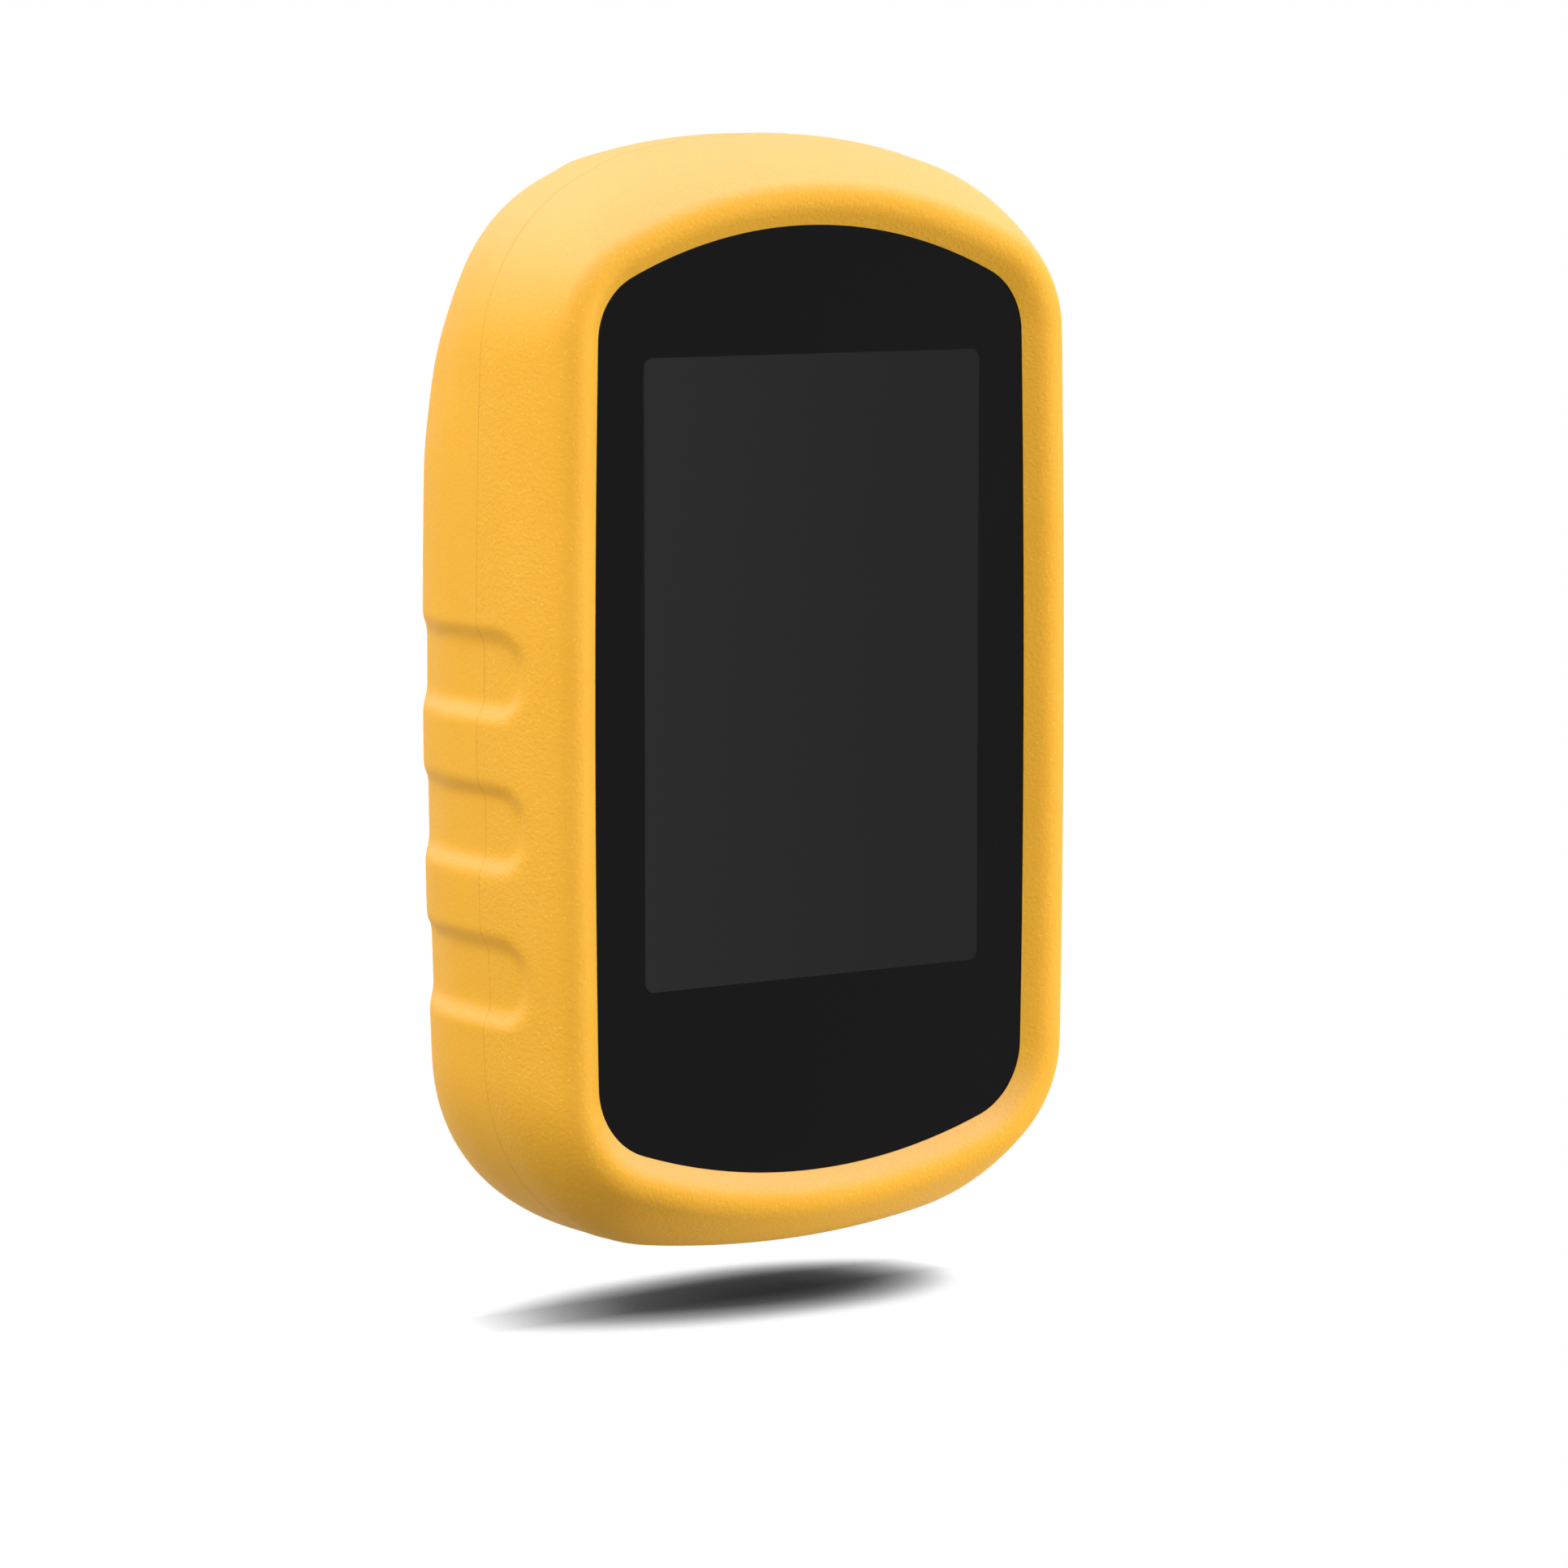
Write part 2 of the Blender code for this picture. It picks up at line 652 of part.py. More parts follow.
def groove_stations():
    """Places along a finger groove, front to back: y, half its height there and its share of the depth."""
    front = CREST_Y + GROOVE_FRONT_MARGIN
    back = BACK_Y - GROOVE_BACK_MARGIN
    reach = GROOVE_HEIGHT / 2
    turns = [math.pi / 2 * (i + 0.5) / SLOT_STEPS for i in range(SLOT_STEPS)]
    ends = [(reach * (1 - math.cos(turn)), reach * math.sin(turn)) for turn in turns]
    runs = [(front + step, half) for step, half in ends]
    straight = back - front - 2 * reach
    runs += [(front + reach + straight * i / SLOT_STEPS, reach) for i in range(SLOT_STEPS + 1)]
    runs += [(back - step, half) for step, half in reversed(ends)]
    return [(y, half, min(1.0, (y - front) / GROOVE_SLOPE, (back - y) / GROOVE_FADE)) for y, half in runs]


def groove_cutter(side, z):
    """One finger groove: a slot with sloping edges and round ends that follows the curve of the wall."""
    rings = []
    for y, half, share in groove_stations():
        floor_half = half * (1 - GROOVE_SLOPE / GROOVE_HEIGHT)
        mouth_half = half * (1 + GROOVE_SLOPE / GROOVE_HEIGHT)
        corners = (
            (-GROOVE_DEPTH, mouth_half),
            (share * GROOVE_DEPTH, floor_half),
            (share * GROOVE_DEPTH, 0.0),
            (share * GROOVE_DEPTH, -floor_half),
            (-GROOVE_DEPTH, -mouth_half),
        )
        rings.append([Vector((side * wall_x(y, z + rise, inset), y, z + rise)) for inset, rise in corners])
    return loft(rings)


def make_sleeve(finish):
    inner_front = GLASS_Y - FIT
    rings = [back_ring(turn, SLEEVE_WALL) for turn in reversed(turns_to(1.0))]
    rings += reversed(flank_rings(flank_turn(inner_front, SLEEVE_WALL), SLEEVE_WALL))
    rings += [ring_at(outline_points(APERTURE), y) for y in (inner_front, inner_front - LIP_EDGE)]
    rings += lip_rings() + flank_rings(LIP_OUTER_TURN, 0.0)
    rings += [back_ring(turn, 0.0) for turn in turns_to(1.0)]
    sleeve = piece("silicone_sleeve", loft(rings), finish)

    pad = piece("pad", sleeve_skin(-PAD_RISE), finish)
    pad_outline = rectangle((0, PAD_CENTRE_Y), PAD_WIDTH, PAD_LENGTH, PAD_CORNER)
    keep_within(pad, prism(pad_outline, "Z", HEIGHT - SLEEVE_TOP_RIM, HEIGHT + FAR))
    cut(pad, sleeve_skin(SLEEVE_WALL / 2))
    join(sleeve, mesh_of(pad))

    for side in (-1, 1):
        for i in range(GROOVE_COUNT):
            cut(sleeve, groove_cutter(side, GROOVE_LOWEST_Z + i * GROOVE_PITCH))

    opening = span_rectangle(
        -OPENING_HALF,
        OPENING_HALF,
        OPENING_BOTTOM_Z,
        OPENING_TOP_Z,
        DOOR_CORNER + SLEEVE_OPENING_MARGIN,
        SLOT_STEPS,
    )
    cut(sleeve, prism(opening, "Y", WIDEST_BACK_Y, FAR))
    window = rectangle(
        (KEY_Y, KEY_Z),
        KEY_WIDTH + 2 * KEY_WINDOW_MARGIN,
        KEY_LENGTH + 2 * KEY_WINDOW_MARGIN,
        KEY_WIDTH / 2,
        SLOT_STEPS,
    )
    cut(sleeve, prism(window, "X", WIDTH / 4, FAR))
    return sleeve


def mesh_of(obj):
    """Take a helper's shape, in place, and remove the helper."""
    mesh = bmesh.new()
    mesh.from_mesh(obj.data)
    bmesh.ops.translate(mesh, verts=mesh.verts, vec=Vector(obj.location))
    bpy.data.objects.remove(obj, do_unlink=True)
    return mesh


def make_glass(finishes):
    glass_outline = outline_points(APERTURE, -GLASS_MARGIN)
    glass_shape = prism(glass_outline, "Y", GLASS_Y, GLASS_Y + GLASS_THICKNESS)
    glass = piece("touch_glass", glass_shape, finishes["glass"])

    adhesive_inner = outline_points(APERTURE, ADHESIVE_WIDTH - GLASS_MARGIN)
    adhesive_outer = outline_points(APERTURE, -GLASS_MARGIN + FIT)
    adhesive = piece(
        "glass_adhesive",
        tray("Y", adhesive_outer, adhesive_inner, ADHESIVE_Y, ADHESIVE_Y + ADHESIVE_THICKNESS),
        finishes["rubber"],
    )

    mask_outline = outline_points(APERTURE, ADHESIVE_WIDTH - GLASS_MARGIN + FIT)
    mask = piece(
        "window_mask",
        prism(mask_outline, "Y", ADHESIVE_Y, ADHESIVE_Y + MASK_THICKNESS),
        finishes["mask"],
    )
    window = rectangle((0, DISPLAY_CENTRE_Z), DISPLAY_WIDTH, DISPLAY_HEIGHT, DISPLAY_CORNER)
    cut(mask, prism(window, "Y", ADHESIVE_Y - FIT, ADHESIVE_Y + MASK_THICKNESS + FIT))
    return [glass, adhesive, mask]


def panel_outline(margin):
    return rectangle(
        (0, DISPLAY_CENTRE_Z),
        DISPLAY_WIDTH + 2 * (PANEL_MARGIN + margin),
        DISPLAY_HEIGHT + 2 * (PANEL_MARGIN + margin),
        DISPLAY_CORNER,
    )


def boss_places():
    x = WIDTH / 2 - BOSS_EDGE_X
    return [(side * x, z) for z in (BOSS_LOW_Z, BOSS_HIGH_Z) for side in (-1, 1)]


def make_display(finishes):
    panel = piece(
        "display_panel",
        prism(panel_outline(0), "Y", PANEL_Y, PANEL_Y + PANEL_THICKNESS),
        finishes["display"],
    )
    backlight = piece(
        "backlight",
        prism(panel_outline(0), "Y", BACKLIGHT_Y, BACKLIGHT_Y + BACKLIGHT_THICKNESS),
        finishes["white_plastic"],
    )
    chassis_end = CHASSIS_Y + CHASSIS_THICKNESS
    chassis = piece("display_chassis", prism(board_outline(), "Y", CHASSIS_Y, chassis_end), finishes["steel"])
    for place in boss_places():
        cut(chassis, disc("Y", place, BOSS_RADIUS + FIT, CHASSIS_Y - FIT, chassis_end + FIT, SMALL_STEPS))
    return [panel, backlight, chassis]


def make_bezel(finish):
    seat = outline_points(APERTURE, -(GLASS_MARGIN + FIT))
    rings = [ring_at(seat, PLATE_Y), ring_at(seat, GLASS_Y)]
    rings += flank_rings(flank_turn(GLASS_Y, SKIN), SKIN)
    rings.append(ring_at(outline_points(WIDEST, SKIN), BEZEL_END_Y))
    rings.append(ring_at(outline_points(WIDEST, SKIN + BEZEL_WALL), BEZEL_END_Y))
    rings.append(ring_at(outline_points(WIDEST, SKIN + BEZEL_WALL + BEZEL_TAPER), PLATE_BACK_Y))
    bezel = piece("front_bezel", loft(rings), finish)
    cut(bezel, prism(panel_outline(FIT), "Y", GLASS_Y, PLATE_BACK_Y + FIT))
    for place in boss_places():
        join(bezel, disc("Y", place, BOSS_RADIUS, PLATE_BACK_Y - BEZEL_PLATE / 2, BOARD_Y - FIT, SMALL_STEPS))
        cut(bezel, disc("Y", place, SCREW_RADIUS + FIT, PLATE_BACK_Y, BOARD_Y, SMALL_STEPS))
    return bezel


def board_outline():
    half = half_width_at(BOSS_HIGH_Z, CAVITY_INSET) - BOARD_EDGE
    return span_rectangle(-half, half, BOSS_LOW_Z - BOSS_RADIUS, BOSS_HIGH_Z + BOSS_RADIUS, BOARD_CORNER)


def on_board(place):
    """A place measured from the middle of the board."""
    return Vector((place[0], BOARD_CENTRE_Z + place[1]))


def make_electronics(finishes):
    board = piece("main_board", prism(board_outline(), "Y", BOARD_Y, BOARD_BACK_Y), finishes["board"])
    for place in boss_places():
        cut(board, disc("Y", place, SCREW_RADIUS + FIT, BOARD_Y - FIT, BOARD_BACK_Y + FIT, SMALL_STEPS))
    notch_length = KEY_LENGTH + 2 * KEY_FLANGE + 2 * FIT
    notch = rectangle((BOARD_BACK_Y, KEY_Z), 4 * BOARD_THICKNESS, notch_length)
    cut(board, prism(notch, "X", switch_tip(), FAR))
    made = [board]

    chip_end = BOARD_Y - FIT
    chips = (
        ("processor_chip", PROCESSOR_PLACE, PROCESSOR_SIDE),
        ("memory_chip", MEMORY_PLACE, MEMORY_SIDE),
    )
    for name, place, side in chips:
        shape = prism(rectangle(on_board(place), side, side), "Y", chip_end - CHIP_HEIGHT, chip_end)
        made.append(piece(name, shape, finishes["chip"]))

    shields = (
        ("receiver_shield", RECEIVER_PLACE, RECEIVER_SIZE),
        ("power_shield", POWER_PLACE, POWER_SIZE),
    )
    for name, place, size in shields:
        can = rectangle(on_board(place), *size, SHIELD_CORNER)
        made.append(piece(name, prism(can, "Y", SHIELD_Y, SHIELD_Y + SHIELD_HEIGHT), finishes["steel"]))

    beeper = turned(
        (
            (BEEPER_RADIUS, SHIELD_Y),
            (BEEPER_RADIUS, SHIELD_Y + BEEPER_HEIGHT - BEEPER_BEVEL),
            (BEEPER_RADIUS - BEEPER_BEVEL, SHIELD_Y + BEEPER_HEIGHT),
        ),
        "Y",
        (BOSS_EDGE_X - WIDTH / 2 + BOSS_RADIUS + 2 * BEEPER_RADIUS, BOSS_LOW_Z),
    )
    made.append(piece("beeper", beeper, finishes["chip"]))
    return made


def make_antenna(finishes):
    half = ANTENNA_SIDE / 2
    foot_z = PORT_Z + SOCKET_HEIGHT / 2 + FIT
    patch_z = foot_z + BRACKET_THICKNESS + FIT
    centre = (0, SHIELD_Y + half)
    arm = rectangle(centre, ANTENNA_SIDE, ANTENNA_SIDE)
    bracket = piece("antenna_bracket", prism(arm, "Z", foot_z, foot_z + BRACKET_THICKNESS), finishes["steel"])
    foot = span_rectangle(-half, half, foot_z - BRACKET_FOOT, foot_z + BRACKET_THICKNESS / 2)
    join(bracket, prism(foot, "Y", SHIELD_Y, SHIELD_Y + BRACKET_THICKNESS))
    tile = rectangle(centre, ANTENNA_SIDE, ANTENNA_SIDE, ANTENNA_CORNER)
    patch_shape = prism(tile, "Z", patch_z, patch_z + ANTENNA_THICKNESS)
    return [bracket, piece("patch_antenna", patch_shape, finishes["ceramic"])]


def rear_solid(inset, start, end):
    """The rear half of the housing as a plain solid, from a flat front to its back or to a flat end."""
    rings = [ring_at(outline_points(WIDEST, inset), start)]
    full = BACK_Y - inset - WIDEST_BACK_Y
    last = min(1.0, 2 / math.pi * math.asin(min(1.0, (end - WIDEST_BACK_Y) / full)))
    rings += [back_ring(turn, inset) for turn in turns_to(last)]
    return loft(rings)


def door_outline(grow):
    half = DOOR_HALF + grow
    bottom = DOOR_BOTTOM_Z - grow
    top = DOOR_TOP_Z + grow
    return span_rectangle(-half, half, bottom, top, DOOR_CORNER + grow, SLOT_STEPS)


def make_rear_housing(finish):
    housing = piece("rear_housing", rear_solid(SKIN, REAR_Y, BACK_SKIN_Y), finish)
    cut(housing, rear_solid(CAVITY_INSET, REAR_Y - FIT, BACK_WALL_Y))

    bay_half = BAY_HALF + BAY_WALL
    bay_outer = span_rectangle(-bay_half, bay_half, BAY_BOTTOM_Z - BAY_WALL, BAY_TOP_Z + BAY_WALL, BAY_WALL)
    lock_half = LOCK_SWEEP + BAY_WALL
    lock_outer = span_rectangle(-lock_half, lock_half, LOCK_Z - lock_half, BAY_BOTTOM_Z - BAY_WALL / 2)
    join(
        housing,
        prism(bay_outer, "Y", BAY_FLOOR_Y - BAY_WALL, BACK_WALL_Y + BAY_WALL),
        prism(lock_outer, "Y", LOCK_CAVITY_Y - BAY_WALL, KEEPER_Y + KEEPER_THICKNESS),
    )
    for place in boss_places():
        post = disc("Y", place, BOSS_RADIUS, BOARD_BACK_Y + FIT, BACK_WALL_Y + FIT, SMALL_STEPS)
        boss = piece("boss", post, finish)
        keep_within(boss, rear_solid(SKIN + REAR_WALL / 3, REAR_Y, BACK_SKIN_Y))
        join(housing, mesh_of(boss))

    cut(
        housing,
        prism(door_outline(FIT), "Y", LEDGE_Y, FAR),
        prism(door_outline(-DOOR_MARGIN), "Y", KEEPER_Y + KEEPER_THICKNESS, FAR),
        prism(span_rectangle(-BAY_HALF, BAY_HALF, BAY_BOTTOM_Z, BAY_TOP_Z), "Y", BAY_FLOOR_Y, FAR),
        disc("Y", (0, LOCK_Z), LOCK_SWEEP, LOCK_CAVITY_Y, KEEPER_Y),
        disc("Y", (0, LOCK_Z), LOCK_STEM_RADIUS + LOCK_CLEARANCE, LOCK_CAVITY_Y, FAR),
        prism(
            rectangle((0, LOCK_Z), CAM_LENGTH + 2 * LOCK_CLEARANCE, CAM_WIDTH + 2 * LOCK_CLEARANCE),
            "Y",
            LOCK_CAVITY_Y + FIT,
            FAR,
        ),
    )
    recess_half = CAP_WIDTH / 2 + FIT
    recess_top = CAP_HINGE_Z + CAP_ROLL_RADIUS + FIT
    cap_recess = span_rectangle(-recess_half, recess_half, CAP_BOTTOM_Z - FIT, recess_top, CAP_CORNER)
    port = rectangle((0, PORT_Z), PORT_WIDTH, PORT_HEIGHT, PORT_CORNER)
    key_window = rectangle(
        (KEY_Y, KEY_Z), KEY_WIDTH + 2 * FIT, KEY_LENGTH + 2 * FIT, KEY_WIDTH / 2, SLOT_STEPS
    )
    cut(
        housing,
        prism(cap_recess, "Y", CAP_SEAT_Y - FIT, FAR),
        prism(port, "Y", BACK_WALL_Y - FIT, FAR),
        prism(key_window, "X", WIDTH / 4, FAR),
    )
    for place in boss_places():
        cut(
            housing,
            disc("Y", place, SCREW_RADIUS + FIT, BOARD_BACK_Y, FAR, SMALL_STEPS),
            disc("Y", place, SCREW_HEAD_RADIUS + FIT, SCREW_SEAT_Y, FAR, SMALL_STEPS),
        )
    return housing


def make_housing_hardware(finishes):
    outer = outline_points(WIDEST, SKIN + FIT)
    inner = outline_points(WIDEST, SKIN + FIT + SEAL_WIDTH)
    seal = tray("Y", outer, inner, SEAL_Y, SEAL_Y + SEAL_THICKNESS)
    made = [piece("housing_seal", seal, finishes["rubber"])]
    head_start = SCREW_SEAT_Y + FIT
    head_end = head_start + SCREW_HEAD_HEIGHT
    for number, place in enumerate(boss_places(), 1):
        shape = turned(
            (
                (SCREW_RADIUS, PLATE_BACK_Y + FIT),
                (SCREW_RADIUS, head_start),
                (SCREW_HEAD_RADIUS, head_start),
                (SCREW_HEAD_RADIUS, head_end - SCREW_HEAD_BEVEL),
                (SCREW_HEAD_RADIUS - SCREW_HEAD_BEVEL, head_end),
            ),
            "Y",
            place,
            SMALL_STEPS,
        )
        made.append(piece(f"housing_screw_{number}", shape, finishes["steel"]))
    return made


def make_cell(name, side, up, finish):
    """One cell. Its nub points up or down."""
    base = BAY_BOTTOM_Z + CONTACT_THICKNESS + 2 * FIT
    if up:
        base += SPRING_HEIGHT + FIT
    barrel = CELL_LENGTH - CELL_NUB_HEIGHT
    profile = [
        (CELL_RADIUS - CELL_EDGE, 0),
        (CELL_RADIUS, CELL_EDGE),
        (CELL_RADIUS, barrel - CELL_EDGE),
        (CELL_RADIUS - CELL_EDGE, barrel),
        (CELL_NUB_RADIUS, barrel),
        (CELL_NUB_RADIUS, CELL_LENGTH),
    ]
    levels = [(radius, base + (level if up else CELL_LENGTH - level)) for radius, level in profile]
    return piece(name, turned(levels, "Z", (side * CELL_X, CELL_Y)), finish)


def spring_points(side, start, rise):
    """A cone-shaped coil, wide at the contact and narrow at the cell."""
    count = SPRING_STEPS * SPRING_TURNS
    points = []
    for i in range(count + 1):
        share = i / count
        radius = SPRING_WIDE + (SPRING_NARROW - SPRING_WIDE) * share
        angle = 2 * math.pi * SPRING_TURNS * share
        height = SPRING_WIRE / 2 + (SPRING_HEIGHT - SPRING_WIRE) * share
        x = side * CELL_X + radius * math.cos(angle)
        y = CELL_Y + radius * math.sin(angle)
        points.append(Vector((x, y, start + rise * height)))
    return points


def least_gap(points, wire):
    """How near a coil comes to itself, between points most of a turn apart."""
    apart = 2 * SPRING_STEPS // 3
    pairs = [(a, b) for i, a in enumerate(points) for b in points[i + apart :]]
    return min((a - b).length for a, b in pairs) - wire


def wire_curve(name, points, wire, finish, cyclic=False, origin=(0, 0, 0)):
    data = bpy.data.curves.new(name, "CURVE")
    data.dimensions = "3D"
    data.bevel_depth = wire / 2
    data.bevel_resolution = 1
    data.use_fill_caps = not cyclic
    spline = data.splines.new("POLY")
    spline.points.add(len(points) - 1)
    for target, point in zip(spline.points, points):
        target.co = (*(point - Vector(origin)), 1.0)
    spline.use_cyclic_u = cyclic
    data.materials.append(finish)
    made = bpy.data.objects.new(name, data)
    made.location = origin
    bpy.context.scene.collection.objects.link(made)
    return made


def make_cells(finishes):
    left = make_cell("cell_left", -1, True, finishes["cell"])
    right = make_cell("cell_right", 1, False, finishes["cell"])
    low = BAY_BOTTOM_Z + FIT
    high = BAY_TOP_Z - FIT - CONTACT_THICKNESS
    half = CELL_RADIUS - FIT
    made = [left, right]
    for name, side in (("contact_left", -1), ("contact_right", 1)):
        plate = rectangle((side * CELL_X, CELL_Y), 2 * half, 2 * half, CONTACT_CORNER)
        made.append(piece(name, prism(plate, "Z", low, low + CONTACT_THICKNESS), finishes["plated"]))
    bridge = rectangle((0, CELL_Y), 2 * (CELL_X + half), 2 * half, CONTACT_CORNER)
    bridge_shape = prism(bridge, "Z", high, high + CONTACT_THICKNESS)
    made.append(piece("contact_bridge", bridge_shape, finishes["plated"]))
    springs = (
        ("spring_left", -1, low + CONTACT_THICKNESS + FIT, 1),
        ("spring_right", 1, high - FIT, -1),
    )
    for name, side, start, rise in springs:
        points = spring_points(side, start, rise)
        print(name, "least gap to itself", round(1000 * least_gap(points, SPRING_WIRE), 2), "mm")
        made.append(wire_curve(name, points, SPRING_WIRE, finishes["plated"]))
    return made


def make_door(finishes):
    origin = (0, DOOR_EDGE_Y, DOOR_BOTTOM_Z)
    door = piece("battery_door", rear_solid(SKIN, REAR_Y, BACK_SKIN_Y), finishes["housing"], origin)
    lock_centre = (0, LOCK_Z)
    pocket_half = BAY_HALF + FIT
    pocket = span_rectangle(-pocket_half, pocket_half, BAY_BOTTOM_Z, BAY_TOP_Z, DOOR_POCKET_CORNER)
    keep_within(door, prism(door_outline(0), "Y", DOOR_EDGE_Y, FAR))
    join(door, disc("Y", lock_centre, LOCK_BOSS_RADIUS, BOSS_END_Y, DOOR_EDGE_Y + FIT))
    cut(
        door,
        prism(pocket, "Y", DOOR_EDGE_Y - FIT, DOOR_POCKET_Y),
        disc("Y", lock_centre, DISH_RADIUS, DISH_FLOOR_Y, FAR),
        disc("Y", lock_centre, LOCK_STEM_RADIUS + FIT, BOSS_END_Y - FIT, FAR),
    )
    for z in rail_screw_heights():
        cut(door, disc("Y", (0, z), RAIL_SCREW_RADIUS + FIT, DOOR_EDGE_Y, FAR, SMALL_STEPS))

    seal_outer = door_outline(-FIT)
    seal_inner = door_outline(-FIT - DOOR_SEAL_WIDTH)
    seal = piece(
        "door_seal",
        tray("Y", seal_outer, seal_inner, DOOR_SEAL_Y, DOOR_SEAL_Y + DOOR_SEAL_THICKNESS),
        finishes["rubber"],
    )
    pieces = [seal, *make_rail(finishes)]
    carry(door, *pieces)
    return door


def rail_screw_heights():
    reach = RAIL_LENGTH / 2 - RAIL_SCREW_END
    return (RAIL_CENTRE_Z - reach, RAIL_CENTRE_Z + reach)


def make_rail(finishes):
    """The mounting rail: a head with an undercut on both sides, on a narrower neck."""
    neck_outline = rectangle((0, RAIL_CENTRE_Z), RAIL_NECK_WIDTH, RAIL_LENGTH, RAIL_NECK_CORNER)
    head_outline = rectangle((0, RAIL_CENTRE_Z), RAIL_HEAD_WIDTH, RAIL_LENGTH, RAIL_HEAD_CORNER)
    head_y = BACK_Y - RAIL_HEAD_THICKNESS
    rail = piece("mounting_rail", prism(head_outline, "Y", head_y, BACK_Y), finishes["housing"])
    join(rail, prism(neck_outline, "Y", RAIL_Y, head_y + FIT))
    made = [rail]
    for number, z in enumerate(rail_screw_heights(), 1):
        cut(rail, disc("Y", (0, z), RAIL_SCREW_RADIUS + FIT, RAIL_Y - FIT, BACK_Y - 2 * FIT, SMALL_STEPS))
        head_end = DOOR_POCKET_Y - FIT
        shape = turned(
            (
                (RAIL_SCREW_HEAD, head_end - RAIL_SCREW_RADIUS),
                (RAIL_SCREW_HEAD, head_end),
                (RAIL_SCREW_RADIUS, head_end),
                (RAIL_SCREW_RADIUS, BACK_Y - 3 * FIT),
            ),
            "Y",
            (0, z),
            SMALL_STEPS,
        )
        made.append(piece(f"rail_screw_{number}", shape, finishes["steel"]))
    return made


def make_lock(finishes):
    centre = (0, LOCK_Z)
    origin = (0, RING_Y, LOCK_Z)
    barrel = piece(
        "lock_barrel",
        turned(
            (
                (LOCK_STEM_RADIUS, CAM_Y),
                (LOCK_STEM_RADIUS, DISH_FLOOR_Y + FIT),
                (LOCK_HEAD_RADIUS, DISH_FLOOR_Y + FIT),
                (LOCK_HEAD_RADIUS, BACK_SKIN_Y - FIT),
                (LOCK_HEAD_RADIUS - FIT, BACK_SKIN_Y),
            ),
            "Y",
            centre,
        ),
        finishes["lock"],
    )
    cam = rectangle(centre, CAM_LENGTH, CAM_WIDTH, CAM_CORNER)
    join(barrel, prism(cam, "Y", CAM_Y, CAM_Y + CAM_THICKNESS))
    cut(barrel, disc("X", (RING_Y, LOCK_Z), RING_WIRE / 2 + FIT, -FAR, FAR, SMALL_STEPS))

    clip_outer = circle(centre, CLIP_RADIUS)
    clip_inner = circle(centre, LOCK_STEM_RADIUS + FIT)
    clip_shape = tray("Y", clip_outer, clip_inner, CLIP_Y, CLIP_Y + CLIP_THICKNESS)
    clip = piece("lock_circlip", clip_shape, finishes["steel"])
    carry(barrel, clip)

    loop = [Vector((x, RING_Y, LOCK_Z)) for x in (-RING_HALF, -RING_HALF / 2, 0, RING_HALF / 2, RING_HALF)]
    for i in range(1, RING_STEPS):
        angle = math.pi * i / RING_STEPS
        loop.append(Vector((RING_HALF * math.cos(angle), RING_Y, LOCK_Z - RING_REACH * math.sin(angle))))
    ring = wire_curve("lock_ring", loop, RING_WIRE, finishes["lock"], True, origin)
    return barrel, ring


def make_port(finishes):
    socket_end = BACK_WALL_Y - FIT
    socket_start = socket_end - SOCKET_DEPTH
    shell = rectangle((0, PORT_Z), SOCKET_WIDTH, SOCKET_HEIGHT, SOCKET_CORNER)
    socket = piece("data_socket", prism(shell, "Y", socket_start, socket_end), finishes["steel"])
    mouth = rectangle((0, PORT_Z), SOCKET_WIDTH - 2 * SOCKET_SHEET, SOCKET_HEIGHT - 2 * SOCKET_SHEET)
    cut(socket, prism(mouth, "Y", socket_start + SOCKET_SHEET, FAR))
    board_end = socket_start - FIT
    base = rectangle((0, PORT_Z), SOCKET_WIDTH + 2 * FIT, SOCKET_HEIGHT)
    base_shape = prism(base, "Y", board_end - PORT_BOARD_THICKNESS, board_end)
    return [socket, piece("port_board", base_shape, finishes["board"])]


def make_cap(finish):
    origin = (0, CAP_HINGE_Y, CAP_HINGE_Z)
    flap = span_rectangle(-CAP_WIDTH / 2, CAP_WIDTH / 2, CAP_BOTTOM_Z, CAP_HINGE_Z, CAP_CORNER)
    cap = piece("weather_cap", prism(flap, "Y", CAP_SEAT_Y, CAP_FACE_Y), finish)
    plug = rectangle((0, PORT_Z), PLUG_WIDTH, PLUG_HEIGHT, SOCKET_CORNER)
    roll = (CAP_HINGE_Y, CAP_HINGE_Z)
    half_roll = CAP_WIDTH / 2 - CAP_CORNER
    join(
        cap,
        prism(plug, "Y", CAP_SEAT_Y - PLUG_DEPTH, CAP_SEAT_Y + FIT),
        disc("X", roll, CAP_ROLL_RADIUS, -half_roll, half_roll, SMALL_STEPS),
    )
    return set_origin(cap, origin)


def set_origin(obj, origin):
    """Move a piece's origin onto its joint's axis, leaving its shape in place."""
    for vertex in obj.data.vertices:
        vertex.co -= Vector(origin) - Vector(obj.location)
    obj.location = origin
    return obj


def key_flange_end():
    """The key's flange stops just inside the housing wall, at the flange's farthest corner."""
    flange_y = KEY_Y + KEY_WIDTH / 2 + KEY_FLANGE
    flange_z = KEY_Z + KEY_LENGTH / 2 + KEY_FLANGE
    return wall_x(flange_y, flange_z, CAVITY_INSET) - FIT


def switch_tip():
    return key_flange_end() - KEY_FLANGE_THICKNESS - KEY_TRAVEL - FIT


